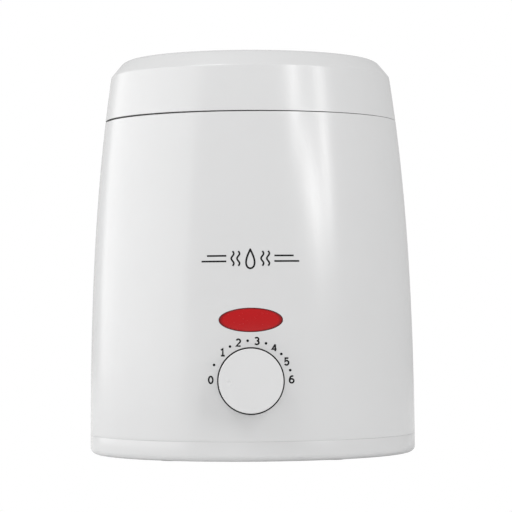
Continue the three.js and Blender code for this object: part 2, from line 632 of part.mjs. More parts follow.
// Sensing bulb against the chamber's underside, with its capillary tube back to the thermostat.
const BULB_HEIGHT = CHAMBER_BOTTOM - TOUCH - BULB_RADIUS;
const bulb = rod(BULB_RADIUS, -22, 22, 0, 0, 12).rotate([90, 0, 0]);
place("thermostat_bulb", bulb, "copper", warmer, [BULB_X, 6, BULB_HEIGHT]);
const capillary = cable(
  [
    [BULB_X, -16.4, BULB_HEIGHT],
    [BULB_X, -22, BULB_HEIGHT - 0.6],
    [20, -30, 47],
    [14, -38, 41],
    [10, -44, 38.5],
    [9, -THERMOSTAT_BACK + TOUCH, 38],
  ],
  0.8,
);
place("thermostat_capillary", capillary, "copper");

// ---------------------------------------------------------------- pilot lamp

// Part of an elliptical plug that lies between two depths below the outer wall's surface.
function lensLayer(margin, depth0, depth1) {
  const [low, high] = [LAMP_HEIGHT - 12, LAMP_HEIGHT + 12];
  const band = revolved([...wallLine(low, high, depth0, 3), ...wallLine(high, low, depth1, 3)]);
  const plug = slab(ellipse(LAMP_HALF_WIDTH + margin, LAMP_HALF_HEIGHT + margin), 55, 85);
  return facingFront(plug).translate([0, 0, LAMP_HEIGHT]).intersect(band);
}
const lampLens = joined(
  lensLayer(0, -0.3, WALL + 1),
  lensLayer(LAMP_FLANGE, WALL + TOUCH, WALL + 1.4),
);
place("lamp_lens", lampLens, "lens");

const HOLDER_FRONT = wallRadius(LAMP_HEIGHT) - WALL - 3.6;
const HOLDER_BACK = 62.9;
const NEON_DEPTH = HOLDER_BACK + 3.6;
const lampHolder = cut(
  box(-12, 12, -HOLDER_FRONT, -HOLDER_BACK, -5.6, 5.6),
  box(-11, 11, -HOLDER_FRONT - 1, -HOLDER_BACK - 1, -4.6, 4.6),
  alongX(hole(1.4, -15, 15)).translate([0, -NEON_DEPTH, 0]),
);
place("lamp_holder", lampHolder, "nylon", warmer, [0, 0, LAMP_HEIGHT]);
const neon = new THREE.CapsuleGeometry(1.9, 12, 3, 10).rotateZ(Math.PI / 2);
place("neon_lamp", toSolid(neon), "glass", warmer, [0, -NEON_DEPTH, LAMP_HEIGHT]);
const resistor = alongX(joined(rod(1, -3, 3, 0, 0, 12), rod(0.3, -7, 7, 0, 0, 6)));
place("lamp_resistor", resistor, "phenolic", warmer, [0, -NEON_DEPTH, LAMP_HEIGHT - 3.3]);

// ---------------------------------------------------------------- mains inlet and terminal block

const flangeFront = INLET_SEAT + TOUCH + INLET_FLANGE;
const inlet = cut(
  joined(
    slab(stadium(34, 17), INLET_SEAT + TOUCH, flangeFront, 5),
    slab(stadium(19.9, 12.5), INLET_BACK, INLET_SEAT + TOUCH + 0.1, 5),
  ),
  slab(stadium(16, 8.4), SOCKET_BACK, flangeFront + 1, 5),
  ...bothSides((side) => hole(PIN_RADIUS + TOUCH, INLET_BACK - 1, SOCKET_BACK + 1, (side * PIN_SPACING) / 2)),
  ...bothSides((side) => hole(1.5, INLET_SEAT - 2, flangeFront + 1, side * INLET_SCREW_X)),
);
place("mains_inlet", inlet, "inlet", rearInlet);
const inletPin = hole(PIN_RADIUS, INLET_BACK - 5, INLET_SEAT - 3);
const inletScrew = screw(2.4, INLET_SCREW_HEAD, 0.9, 7);
const turnedOver = [Math.PI, 0, 0];
for (const [name, side] of SIDES) {
  place(`inlet_pin_${name}`, inletPin, "brass", rearInlet, [(side * PIN_SPACING) / 2, 0, 0]);
  const seat = [side * INLET_SCREW_X, 0, INLET_SCREW_SEAT];
  place(`inlet_screw_${name}`, inletScrew, "steel", rearInlet, seat, turnedOver);
}

const POLES = [-8, 8];
const LANES = [-2.3, 2.3]; // the two bores of each pole
const BORE_HEIGHT = 5.5;
const poleBores = POLES.flatMap((pole) =>
  LANES.map((lane) => hole(1.4, -7, 7).rotate([90, 0, 0]).translate([pole + lane, 0, BORE_HEIGHT])),
);
const terminalBlock = cut(
  joined(box(-13, 13, -6, 6, 0, 4), ...POLES.map((pole) => box(pole - 4.6, pole + 4.6, -6, 6, 0, 10))),
  ...poleBores,
  hole(1.4, -1, 12),
);
place("terminal_block", terminalBlock, "nylon", warmer, [BLOCK_X, BLOCK_Y, BLOCK_BASE]);
const blockScrewSeat = [BLOCK_X, BLOCK_Y, BLOCK_BASE + 4 + TOUCH];
place("block_screw", screw(2.4, 1.5, 0.8, 6.4), "steel", warmer, blockScrewSeat, turnedOver);

// ---------------------------------------------------------------- wiring

// Each wire ends straight in line with its terminal: the first or last two points of a route are the end itself
// and a point LEAD away from it.
const WIRE = 0.9;
const LEAD = 4;
const leadOut = ([x, y, z], dx, dy, dz) => [[x, y, z], [x + LEAD * dx, y + LEAD * dy, z + LEAD * dz]];
const leadIn = (...end) => leadOut(...end).reverse();

function atBlock(pole, lane, side) {
  const bore = [BLOCK_X + POLES[pole] + LANES[lane], BLOCK_Y + side * 3, BLOCK_BASE + BORE_HEIGHT];
  return [bore, 0, 2 * side, 0];
}
const atPin = (side) => [[(side * PIN_SPACING) / 2, INLET_BACK - 5.4, INLET_HEIGHT], 0, -1, 0];
const atTab = (x) => [[x, -TAB_DEPTH, KNOB_HEIGHT + TAB_TOP - TAB_LENGTH - TOUCH], 0, 0, -0.8];
const atFuse = (side) => [[FUSE_X + side * (FUSE_LEAD + 0.4), FUSE_Y, FUSE_HEIGHT], side, 0, 0];
const atHeater = (side) => [[side * 8, HEATER_OUTER + 3, 70.6], 0, 0.8, 0];
const atLamp = (side) => [[side * 8.3, -NEON_DEPTH, LAMP_HEIGHT], 1.4 * side, 0, 0];

const ROUTES = {
  inlet_live_wire: [
    "brownWire",
    [...leadOut(...atPin(-1)), [-7, 38, 19], [-13, 36, 11], ...leadIn(...atBlock(1, 1, 1))],
  ],
  inlet_neutral_wire: [
    "blueWire",
    [...leadOut(...atPin(1)), [0, 37, 32], [-20, 42, 29], [-31, 39, 15], ...leadIn(...atBlock(0, 0, 1))],
  ],
  fuse_supply_wire: [
    "brownWire",
    [
      ...leadOut(...atBlock(1, 1, -1)),
      [-14, 2, 13],
      [-8, -10, 26],
      [-3, -20, 42],
      [-2, -24, 52],
      ...leadIn(...atFuse(1)),
    ],
  ],
  thermostat_supply_wire: [
    "brownWire",
    [...leadOut(...atFuse(-1)), [-47, -27, 46], [-40, -38, 26], [-24, -47, 12], ...leadIn(...atTab(-TAB_X))],
  ],
  heater_live_wire: [
    "brownWire",
    [
      ...leadOut(...atTab(TAB_X)),
      [20, -44, 9],
      [40, -20, 10],
      [47, 12, 22],
      [43, 38, 42],
      [28, 54, 54],
      [10, 62.6, 60],
      ...leadIn(...atHeater(1)),
    ],
  ],
  heater_neutral_wire: [
    "blueWire",
    [
      ...leadOut(...atHeater(-1)),
      [-10, 62.6, 60],
      [-30, 53, 52],
      [-50, 32, 36],
      [-46, 12, 18],
      [-36, 6, 11],
      ...leadIn(...atBlock(0, 0, -1)),
    ],
  ],
  lamp_live_wire: [
    "brownWire",
    [
      ...leadOut(...atLamp(1)),
      [18.4, -65.5, 60],
      [22, -64, 50],
      [22, -59, 28],
      [9, -60, 11],
      ...leadIn(...atTab(0)),
    ],
  ],
  lamp_neutral_wire: [
    "blueWire",
    [
      ...leadOut(...atLamp(-1)),
      [-18.4, -65.5, 60],
      [-22, -64, 50],
      [-25, -60, 26],
      [-34, -40, 10],
      [-32, -8, 9],
      ...leadIn(...atBlock(0, 1, -1)),
    ],
  ],
};
for (const [name, [material, points]] of Object.entries(ROUTES)) place(name, cable(points, WIRE, 18), material);

warmer.position.y = (KNOB_FACE - INLET_SCREW_SEAT - INLET_SCREW_HEAD) / 2;

export default warmer;
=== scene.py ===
"""Looks of a salon wax warmer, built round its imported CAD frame.

Shapes are worked out in millimetres and become metres when a mesh is made. +Z is up, and the knob faces -Y.
A place on the front or rear is given as (u, depth, z): u to the right as seen from that side, and depth out
from the round body's axis.
"""

import json
import math
from functools import partial
from math import atan2, cos, hypot, pi, radians, sin, sqrt, tan

import bmesh
import bpy
from mathutils import Matrix, Vector


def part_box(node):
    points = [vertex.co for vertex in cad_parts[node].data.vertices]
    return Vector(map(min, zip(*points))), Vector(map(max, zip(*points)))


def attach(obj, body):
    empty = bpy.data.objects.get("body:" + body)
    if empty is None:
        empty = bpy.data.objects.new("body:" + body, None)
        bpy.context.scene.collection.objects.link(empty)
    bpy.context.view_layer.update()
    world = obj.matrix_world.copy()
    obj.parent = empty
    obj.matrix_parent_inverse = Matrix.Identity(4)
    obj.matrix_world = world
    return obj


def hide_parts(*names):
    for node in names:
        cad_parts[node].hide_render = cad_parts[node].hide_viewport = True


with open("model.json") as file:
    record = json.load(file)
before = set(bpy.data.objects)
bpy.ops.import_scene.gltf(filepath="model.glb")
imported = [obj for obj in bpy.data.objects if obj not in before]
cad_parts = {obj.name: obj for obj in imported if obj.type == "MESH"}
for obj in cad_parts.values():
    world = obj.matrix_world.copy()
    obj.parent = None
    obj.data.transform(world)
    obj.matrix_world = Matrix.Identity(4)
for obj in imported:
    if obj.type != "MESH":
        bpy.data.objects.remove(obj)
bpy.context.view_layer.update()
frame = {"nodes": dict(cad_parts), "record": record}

# ---- sizes

MM = 0.001
FRONT, REAR = 1, -1


def box_mm(node):
    """The lowest and highest corner of a CAD node's box."""
    return [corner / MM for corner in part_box(node)]


LID_LOW, LID_HIGH = box_mm("lid")
BODY_LOW, BODY_HIGH = box_mm("body_shell")
BASE_LOW, BASE_HIGH = box_mm("base_cover")
KNOB_LOW, KNOB_HIGH = box_mm("knob")
LENS_LOW, LENS_HIGH = box_mm("lamp_lens")
INLET_LOW, INLET_HIGH = box_mm("mains_inlet")
POT_LOW, POT_HIGH = box_mm("wax_pot")
CHAMBER_LOW, CHAMBER_HIGH = box_mm("heating_chamber")

AXIS_Y = (LID_LOW.y + LID_HIGH.y) / 2
KNOB_Z = (KNOB_LOW.z + KNOB_HIGH.z) / 2
LAMP_Z = (LENS_LOW.z + LENS_HIGH.z) / 2
INLET_Z = (INLET_LOW.z + INLET_HIGH.z) / 2
KNOB_FACE = AXIS_Y - KNOB_LOW.y
INLET_FACE = INLET_HIGH.y - AXIS_Y

# Outer wall: vertical at FLARE_Z, narrowing with the cube of the height above it.
BASE_RADIUS = 75
FLARE_Z = -36
PARTING_Z = 154
PARTING_NARROWING = 7.8
WALL = 2.5
COLUMNS = 192  # faces round the big turned pieces

RIM_INNER = 64.2
DECK_Z = 149
LEDGE_RADIUS = 59.5
LEDGE_Z = 146.5
MOUTH_RADIUS = 55.5
POCKET_RADIUS = 14.6
POCKET_OFF = (-0.1, -0.25)  # the knob sits a little high in its pocket
POCKET_FLOOR = 70.5
POCKET_LIP = 0.35  # white part of the pocket's wall, above the dark material painted on its deeper part as shade
POCKET_BACK = 68.2
SHAFT_HOLE = 5.1  # radius of the hole in the pocket's floor
LAMP_OPENING = (13.95, 5.25)  # half sizes
OPENING_FILLET = 0.12
INLET_SEAT = 72.4  # depth of the face that the inlet's flange lies on
INLET_BACK = INLET_SEAT - 2.3
INLET_RECESS = (17.6, 9.1, 2.5)  # half sizes and corner
INLET_THROAT = (10.25, 6.55, 6.54)
POST_RING = 64
FOOT_RING = 50
LID_WALL = 2.3
SKIRT_OUTER = 63.6
SKIRT_INNER = 61.4
LID_LEAN = 0.3  # degrees: the lid sits a little high on the left


def wall_radius(z):
    return BASE_RADIUS - PARTING_NARROWING * ((z - FLARE_Z) / (PARTING_Z - FLARE_Z)) ** 3


def wall_depth(u, z, inset=0.0):
    """Depth of the outer wall, moved inwards by inset, at u and z."""
    return sqrt((wall_radius(z) - inset) ** 2 - u * u)


def sunk_wall(sink):
    """A function for the depth of a surface that lies the distance sink behind the outer wall."""

    def depth(u, z):
        return wall_depth(u, z) - sink

    return depth


# ---- mesh helpers


def place(side, u, depth, z):
    """The point of the frame at (u, depth, z) on the front or rear."""
    return (side * u, AXIS_Y - side * depth, z)


def make_mesh(verts, faces):
    mesh = bpy.data.meshes.new("shape")
    mesh.from_pydata([tuple(c * MM for c in v) for v in verts], [], faces)
    return mesh


def new_object(name, data):
    made = bpy.data.objects.new(name, data)
    bpy.context.scene.collection.objects.link(made)
    return made


def add_piece(name, mesh, material, body, replaced=(), sharp=35):
    """A piece that rides on a body: faces outwards, and smooth apart from edges over the sharp angle."""
    face_outwards(mesh)
    mesh.name = name
    mesh.shade_smooth()
    mesh.set_sharp_from_angle(angle=radians(sharp))
    mesh.materials.clear()
    mesh.materials.append(material)
    piece = new_object(name, mesh)
    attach(piece, body)
    if replaced:
        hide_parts(*replaced)
    return piece


def rounded(corners, steps=5):
    """A closed profile from corners (radius, z) or (radius, z, fillet), each fillet drawn as an arc."""
    points = []
    for i, corner in enumerate(corners):
        here = Vector(corner[:2])
        fillet = corner[2] if len(corner) > 2 else 0
        if not fillet:
            points.append(tuple(here))
            continue
        back = (Vector(corners[i - 1][:2]) - here).normalized()
        ahead = (Vector(corners[(i + 1) % len(corners)][:2]) - here).normalized()
        half = back.angle(ahead) / 2
        middle = here + (back + ahead).normalized() * (fillet / sin(half))
        start = here + back * (fillet / tan(half)) - middle
        end = here + ahead * (fillet / tan(half)) - middle
        turn = atan2(start.cross(end), start.dot(end))
        for k in range(steps + 1):
            c = cos(turn * k / steps)
            s = sin(turn * k / steps)
            points.append((middle.x + start.x * c - start.y * s, middle.y + start.x * s + start.y * c))
    return points


def bridge(low, high):
    """Faces between two closed loops of vertex numbers. One loop may have twice as many as the other."""
    faces = []
    if len(high) == 2 * len(low):
        return [face[::-1] for face in bridge(high, low)]
    n = len(high)
    if len(low) == 2 * n:
        for k in range(n):
            a, b, c = low[2 * k], low[2 * k + 1], low[(2 * k + 2) % (2 * n)]
            faces += [(a, b, high[k]), (b, high[(k + 1) % n], high[k]), (b, c, high[(k + 1) % n])]
        return faces
    for k in range(n):
        j = (k + 1) % n
        faces.append((low[k], low[j], high[j], high[k]))
    return faces


def loft(loops, closed=False):
    """Vertices and faces of a skin over loops of points.

    A loop of one point is a pole. Ends that aren't poles are capped, unless the skin closes on itself."""
    verts, numbers = [], []
    for points in loops:
        numbers.append(list(range(len(verts), len(verts) + len(points))))
        verts += points
    faces = []
    after = numbers[1:] + numbers[:1] if closed else numbers[1:]
    for low, high in zip(numbers, after):
        if len(low) == 1 or len(high) == 1:
            pole, ring = (low[0], high) if len(low) == 1 else (high[0], low)
            faces += [(pole, ring[k], ring[(k + 1) % len(ring)]) for k in range(len(ring))]
        else:
            faces += bridge(low, high)
    if not closed:
        faces += [tuple(n) for n in (numbers[0], numbers[-1]) if len(n) > 2]
    return verts, faces


def merged(skins):
    """Several skins as one list of vertices and one of faces."""
    verts, faces = [], []
    for more, more_faces in skins:
        faces += [tuple(n + len(verts) for n in face) for face in more_faces]
        verts += more
    return verts, faces


def full_turn(count):
    return [2 * pi * k / count for k in range(count)]


def spun(profile, columns, point, closed=False):
    """A skin from a profile of (radius, height), where point(radius, height, angle) gives each vertex."""
    loops = []
    for radius, height in profile:
        ring = [point(radius, height, a) for a in full_turn(columns)]
        loops.append(ring if radius > 1e-6 else ring[:1])
    return loft(loops, closed)


def turned(profile, columns=COLUMNS, closed=False, at=(0.0, None)):
    """A skin of (radius, z) points turned about the vertical line at (x, y).

    That line is the body's axis if y is None."""
    cx, cy = at[0], AXIS_Y if at[1] is None else at[1]

    def point(radius, z, a):
        return cx + radius * sin(a), cy - radius * cos(a), z

    return spun(profile, columns, point, closed)


def disc(radius, low, high, spot, columns=48):
    """A closed upright cylinder at spot (x, y)."""
    return turned([(0, low), (radius, low), (radius, high), (0, high)], columns, False, spot)


def turned_out(profile, centre_z, side, columns, u=0.0):
    """A skin of (radius, depth) points turned about the level line that leaves the body at u, centre_z."""

    def point(radius, depth, a):
        return place(side, u + radius * cos(a), depth, centre_z + radius * sin(a))

    return spun(profile, columns, point)


def ellipse(half_u, half_z, turn, offset=0.0):
    """Point of an oval's outline."""
    return (half_u + offset) * cos(turn), (half_z + offset) * sin(turn)


def round_box(half_u, half_z, corner, turn, offset=0.0):
    """Point of a rounded rectangle's outline, by a turn that is scaled to its sides."""
    a, b, r = half_u + offset, half_z + offset, corner + offset
    du, dz = a * cos(turn), b * sin(turn)
    size = hypot(du, dz)
    du, dz = du / size, dz / size
    reach = min(a / abs(du) if du else math.inf, b / abs(dz) if dz else math.inf)
    qu, qz = a - r, b - r
    if abs(du) * reach > qu and abs(dz) * reach > qz:
        along = abs(du) * qu + abs(dz) * qz
        reach = along + sqrt(max(along * along - qu * qu - qz * qz + r * r, 0))
    return du * reach, dz * reach


def outline_loop(side, outline, centre_z, depth, offset=0.0, count=96):
    """A loop on the front or rear. depth is a number, or a function of (u, z)."""
    points = []
    for turn in full_turn(count):
        u, dz = outline(turn, offset)
        z = centre_z + dz
        points.append(place(side, u, depth(u, z) if callable(depth) else depth, z))
    return points


def face_outwards(mesh):
    """Joins doubled vertices and turns every face outwards."""
    work = bmesh.new()
    work.from_mesh(mesh)
    bmesh.ops.remove_doubles(work, verts=work.verts, dist=1e-7)
    bmesh.ops.recalc_face_normals(work, faces=work.faces)
    work.to_mesh(mesh)
    work.free()


def boolean(mesh, operation, tools):
    """The mesh joined with or cut by closed tools, each a pair of vertices and faces."""
    face_outwards(mesh)
    work = new_object("work", mesh)
    made = []
    for verts, faces in tools:
        tool_mesh = make_mesh(verts, faces)
        face_outwards(tool_mesh)
        tool = new_object("tool", tool_mesh)
        modifier = work.modifiers.new("boolean", "BOOLEAN")
        modifier.operation = operation
        modifier.solver = "EXACT"
        modifier.object = tool
        made.append(tool)
    graph = bpy.context.evaluated_depsgraph_get()
    result = bpy.data.meshes.new_from_object(work.evaluated_get(graph))
    for item in [work, *made]:
        bpy.data.objects.remove(item)
    return result


def on_ring(radius, degrees):
    """(x, y) on a circle round the body's axis, counter-clockwise from +X."""
    a = radians(degrees)
    return radius * cos(a), AXIS_Y + radius * sin(a)


def four_spots(radius):
    """Four places on a circle: rear right, rear left, front left and front right."""
    return [on_ring(radius, 45 + 90 * k) for k in range(4)]


# ---- materials


class Nodes:
    """A procedural material: a Principled shader, object coordinates, and calls that add what it needs."""

    def __init__(self, name, colour, roughness, metallic=0.0, **sockets):
        self.material = bpy.data.materials.new(name)
        self.material.use_nodes = True
        self.tree = self.material.node_tree
        self.shader = self.tree.nodes["Principled BSDF"]
        self.colour = colour
        self.set("Base Color", (*colour, 1))
        self.set("Roughness", roughness)
        self.set("Metallic", metallic)
        for socket, value in sockets.items():
            self.set(socket.replace("_", " ").title().replace("Ior", "IOR"), value)
        self.coords = self.add("TexCoord").outputs["Object"]
        self.normal = None

    def set(self, socket, value):
        self.shader.inputs[socket].default_value = value

    def add(self, kind, **values):
        node = self.tree.nodes.new("ShaderNode" + kind)
        for key, value in values.items():
            if key in node.inputs:
                node.inputs[key].default_value = value
            else:
                setattr(node, key, value)
        return node

    def link(self, source, target):
        self.tree.links.new(source, target)

    def mapped(self, location=(0, 0, 0), scale=(1, 1, 1)):
        """Object coordinates, scaled and then moved."""
        node = self.add("Mapping", Location=location, Scale=scale)
        self.link(self.coords, node.inputs["Vector"])
        return node.outputs["Vector"]

    def noise(self, size_mm, detail=3.0, stretch=None, rough=0.5):
        """A noise whose features are about size_mm across."""
        node = self.add("TexNoise", Scale=1 / (size_mm * MM), Detail=detail, Roughness=rough)
        self.link(self.mapped(scale=stretch) if stretch else self.coords, node.inputs["Vector"])
        return node.outputs["Fac"]

    def blend_colour(self, fac, positions, colours):
        """Base colour that goes from one colour to another as fac goes between two positions."""
        ramp = self.add("ValToRGB")
        for stop, position, colour in zip(ramp.color_ramp.elements, positions, colours):
            stop.position = position
            stop.color = (*colour, 1)
        self.link(fac, ramp.inputs["Fac"])
        self.link(ramp.outputs["Color"], self.shader.inputs["Base Color"])

    def vary_colour(self, fac, low, high):
        """Base colour times low to high as fac goes from 0.3 to 0.7."""
        colours = [[min(c * gain, 1) for c in self.colour] for gain in (low, high)]
        self.blend_colour(fac, (0.3, 0.7), colours)

    def vary_roughness(self, fac, low, high):
        node = self.add("MapRange")
        for socket, value in zip(("From Min", "From Max", "To Min", "To Max"), (0.3, 0.7, low, high)):
            node.inputs[socket].default_value = value
        self.link(fac, node.inputs["Value"])
        self.link(node.outputs["Result"], self.shader.inputs["Roughness"])

    def bump(self, height, depth_mm, strength=1.0):
        """Adds a bump of about depth_mm to the ones before it."""
        node = self.add("Bump", Strength=strength, Distance=depth_mm * MM)
        self.link(height, node.inputs["Height"])
        if self.normal:
            self.link(self.normal, node.inputs["Normal"])
        self.normal = node.outputs["Normal"]
        self.link(self.normal, self.shader.inputs["Normal"])


def moulded_plastic(name, colour, roughness, grain_mm, grain_depth, variation=0.008):
    """Plastic moulded in a spark-eroded tool: fine grain, with slow drifts of gloss and shade."""
    made = Nodes(name, colour, roughness, specular_ior_level=0.75)
    made.vary_colour(made.noise(38, 2), 1 - variation, 1 + variation)
    made.vary_roughness(made.noise(24, 3), roughness - 0.008, roughness + 0.008)
    made.bump(made.noise(30, 1), 0.02, 0.2)
    made.bump(made.noise(grain_mm, 2, rough=0.7), grain_depth)
    return made.material


def spun_metal(name, colour, roughness, centre_y_mm, groove_mm=0.35):
    """Metal turned or spun about the body's axis, with fine grooves round it."""
    made = Nodes(name, colour, roughness, 1.0)
    split = made.add("SeparateXYZ")
    made.link(made.mapped((0, -centre_y_mm * MM, 0)), split.inputs["Vector"])
    flat = made.add("CombineXYZ")
    made.link(split.outputs["X"], flat.inputs["X"])
    made.link(split.outputs["Y"], flat.inputs["Y"])
    reach = made.add("VectorMath", operation="LENGTH")
    made.link(flat.outputs["Vector"], reach.inputs[0])
    line = made.add("CombineXYZ")
    made.link(reach.outputs["Value"], line.inputs["X"])
    made.link(split.outputs["Z"], line.inputs["Z"])
    grooves = made.add("TexNoise", Scale=1 / (groove_mm * MM), Detail=4.0, Roughness=0.6)
    made.link(line.outputs["Vector"], grooves.inputs["Vector"])
    made.vary_colour(made.noise(14, 3), 0.96, 1.03)
    made.vary_roughness(grooves.outputs["Fac"], roughness - 0.06, roughness + 0.1)
    made.bump(grooves.outputs["Fac"], 0.02, 0.6)
    return made.material


def plain_metal(name, colour, roughness, grain_mm=0.5, stretch=(1, 1, 1)):
    """Plated or drawn metal with a faint patina and fine scratches along its stretch."""
    made = Nodes(name, colour, roughness, 1.0)
    made.vary_colour(made.noise(5, 4), 0.94, 1.06)
    made.vary_roughness(made.noise(2.5, 4), roughness - 0.06, roughness + 0.12)
    made.bump(made.noise(grain_mm, 3, stretch), 0.01, 0.6)
    return made.material


def soft_matte(name, colour, roughness, grain_mm, grain_depth, variation=0.08, **sockets):
    """Rubber, silicone, nylon or cable insulation."""
    made = Nodes(name, colour, roughness, **sockets)
    made.vary_colour(made.noise(4, 4), 1 - variation, 1 + variation)
    made.vary_roughness(made.noise(1.5, 3), roughness - 0.06, min(roughness + 0.08, 1))
    made.bump(made.noise(grain_mm, 3), grain_depth)
    return made.material


def felt(name, colour):
    """Needled insulation: matted fibres in two crossing directions."""
    made = Nodes(name, colour, 0.95, sheen_weight=0.25, sheen_roughness=0.6)
    made.vary_colour(made.noise(1.6, 6), 0.82, 1.1)
    made.bump(made.noise(0.7, 5, (1, 1, 6)), 0.35)
    made.bump(made.noise(0.7, 5, (6, 6, 1)), 0.3)
    return made.material


def lamp_plastic(name, colour, rim):
    """Tinted acrylic over a prismatic back: deep red and a little uneven, with painted shade darkening it
    towards its edge.
    """
    made = Nodes(name, colour, 0.24, specular_ior_level=0.3)
    made.vary_roughness(made.noise(1.1, 2), 0.2, 0.28)
    made.bump(made.noise(2.4, 1), 0.003, 0.4)
    half_u, half_z = LAMP_OPENING
    oval = made.mapped((0, 0, -LAMP_Z / half_z), (1 / (half_u * MM), 0, 1 / (half_z * MM)))
    reach = made.add("VectorMath", operation="LENGTH")
    made.link(oval, reach.inputs[0])
    # painted shade: the colour darkens to rim over the outer part of the oval, for the shade at the lens's
    # edge
    made.blend_colour(reach.outputs["Value"], (0.86, 0.97), (colour, rim))
    return made.material


WHITE = moulded_plastic("casing_plastic", (0.6, 0.601, 0.603), 0.22, 0.42, 0.005)
LID_WHITE = moulded_plastic("lid_plastic", (0.6, 0.601, 0.603), 0.25, 0.5, 0.004)
KNOB_WHITE = moulded_plastic("knob_plastic", (0.62, 0.621, 0.623), 0.3, 0.5, 0.005)
# the second colour is the painted shade at the lens's edge
LAMP_RED = lamp_plastic("lamp_acrylic", (0.4, 0.003, 0.005), (0.15, 0.002, 0.004))
INK = soft_matte(
    "printing_ink", (0.006, 0.006, 0.007), 0.6, 0.3, 0.004, 0.15, specular_ior_level=0.2
)
# painted shade: near-black, standing in for the shade deep in the knob's pocket
POCKET_PAINTED_SHADE = soft_matte("pocket_painted_shade", (0.03, 0.03, 0.031), 0.7, 0.4, 0.01)
INLET_BLACK = soft_matte("inlet_plastic", (0.016, 0.016, 0.017), 0.42, 0.35, 0.015, 0.12)
SPUN = spun_metal("spun_aluminium", (0.76, 0.77, 0.78), 0.28, AXIS_Y)
ANODISED = spun_metal("chamber_aluminium", (0.6, 0.61, 0.62), 0.38, AXIS_Y, 0.6)
ZINC = plain_metal("zinc_plate", (0.62, 0.63, 0.65), 0.32)
BRASS = plain_metal("brass", (0.72, 0.5, 0.22), 0.3, 0.4, (1, 6, 1))
COPPER = plain_metal("copper", (0.78, 0.36, 0.2), 0.3, 0.5)
RUBBER = soft_matte("foot_rubber", (0.2, 0.205, 0.21), 0.78, 0.45, 0.04)
SILICONE = soft_matte("silicone", (0.5, 0.1, 0.06), 0.6, 0.8, 0.03)
FELT = felt("insulation_felt", (0.66, 0.63, 0.56))
PHENOLIC = soft_matte("phenolic", (0.03, 0.024, 0.02), 0.5, 0.6, 0.03, 0.2)
NYLON = soft_matte(
    "nylon", (0.66, 0.63, 0.54), 0.48, 0.5, 0.012, 0.04, subsurface_weight=0.15
)
NEON = soft_matte(
    "neon_glass", (0.85, 0.5, 0.3), 0.08, 3.0, 0.004, 0.05, transmission_weight=0.7
)
WIRE_BROWN = soft_matte("brown_insulation", (0.14, 0.045, 0.018), 0.5, 0.6, 0.01)
WIRE_BLUE = soft_matte("blue_insulation", (0.02, 0.09, 0.4), 0.5, 0.6, 0.01)

# ---- casing

ROW_STEP = 2.0
FIRST_ROW = 11.6
LAST_ROW = 151.6
EDGE = 0.05  # fillet along the parting line with the base tray
RIM_FILLET = 0.12
HALF_WINDOW = 9  # columns on each side of a window's middle
# Lowest and highest row of the casing that each window takes out.
POCKET_ROWS = (17.6, 55.6)
LAMP_ROWS = (55.6, 69.6)
INLET_ROWS = (15.6, 39.6)


def arc_points(centre_r, centre_z, size, start, end, steps):
    """Profile points on an arc, from start to end in degrees."""
    turns = [radians(start + (end - start) * k / steps) for k in range(steps + 1)]
    return [(centre_r + size * cos(t), centre_z + size * sin(t)) for t in turns]


def casing_rows():
    """The casing's closed profile, and the numbers of its outer and inner rows by height."""
    foot = BODY_LOW.z
    heights = [FIRST_ROW + ROW_STEP * k for k in range(round((LAST_ROW - FIRST_ROW) / ROW_STEP) + 1)]
    rim = BODY_HIGH.z
    profile = arc_points(wall_radius(foot) - EDGE, foot + EDGE, EDGE, -90, 0, 3)
    outer = {}
    for z in heights:
        outer[round(z, 3)] = len(profile)
        profile.append((wall_radius(z), z))
    profile += arc_points(wall_radius(rim) - RIM_FILLET, rim - RIM_FILLET, RIM_FILLET, 0, 90, 3)
    profile += rounded(
        [
            (RIM_INNER, rim, 0.4), (RIM_INNER, DECK_Z, 0.4), (LEDGE_RADIUS, DECK_Z, 0.3),
            (LEDGE_RADIUS, LEDGE_Z, 0.2), (MOUTH_RADIUS, LEDGE_Z, 0.3),
            (MOUTH_RADIUS, LEDGE_Z - WALL, 0.3), (LEDGE_RADIUS + WALL, LEDGE_Z - WALL, 0.3),
            (LEDGE_RADIUS + WALL, LEDGE_Z, 0.3), (wall_radius(LEDGE_Z) - WALL, LEDGE_Z, 0.3),
            (wall_radius(foot) - WALL, foot),
        ],
        3,
    )[:-1]
    inner = {}
    for z in reversed([z for z in heights if z < LEDGE_Z - 0.8]):
        inner[round(z, 3)] = len(profile)
        profile.append((wall_radius(z) - WALL, z))
    profile.append((wall_radius(foot) - WALL, foot))
    return profile, outer, inner


def window_skin(side, low, high, centre_z, steps):
    """Loops that close a window in the casing, from its outer frame to its inner one.

    Each step is (outline, offset, depth), and depth may be a function of (u, z). low and high are the loops
    of points at the window's frame, outside and inside."""

    def turn_of(point):
        u, z = side * point[0], point[2]
        return atan2((z - centre_z) / half_z, u / half_u)

    half_u = max(side * p[0] for p in low)
    half_z = max(p[2] for p in low) - centre_z
    turns = [turn_of(p) for p in low]
    fine = []
    for k, turn in enumerate(turns):
        gap = (turns[(k + 1) % len(turns)] - turn) % (2 * pi)
        fine += [turn, turn + gap / 2]

    def ring(outline, offset, depth):
        points = []
        for turn in fine:
            u, dz = outline(turn, offset)
            z = centre_z + dz
            points.append(place(side, u, depth(u, z) if callable(depth) else depth, z))
        return points

    def between(frame_loop, edge, inset):
        """Loops on the wall from the frame to an edge loop, the frame's points doubled on the way."""
        doubled = []
        for k, point in enumerate(frame_loop):
            after = frame_loop[(k + 1) % len(frame_loop)]
            doubled += [Vector(point), (Vector(point) + Vector(after)) / 2]
        loops = []
        for share in (0.25, 0.5, 0.75):
            loop = []
            for a, b in zip(doubled, edge):
                mix = a.lerp(Vector(b), share)
                u, z = side * mix.x, mix.z
                loop.append(place(side, u, wall_depth(u, z, inset), z))
            loops.append(loop)
        return loops

    loops = [ring(*step) for step in steps]
    return [*between(low, loops[0], 0), *loops, *reversed(between(high, loops[-1], WALL))]


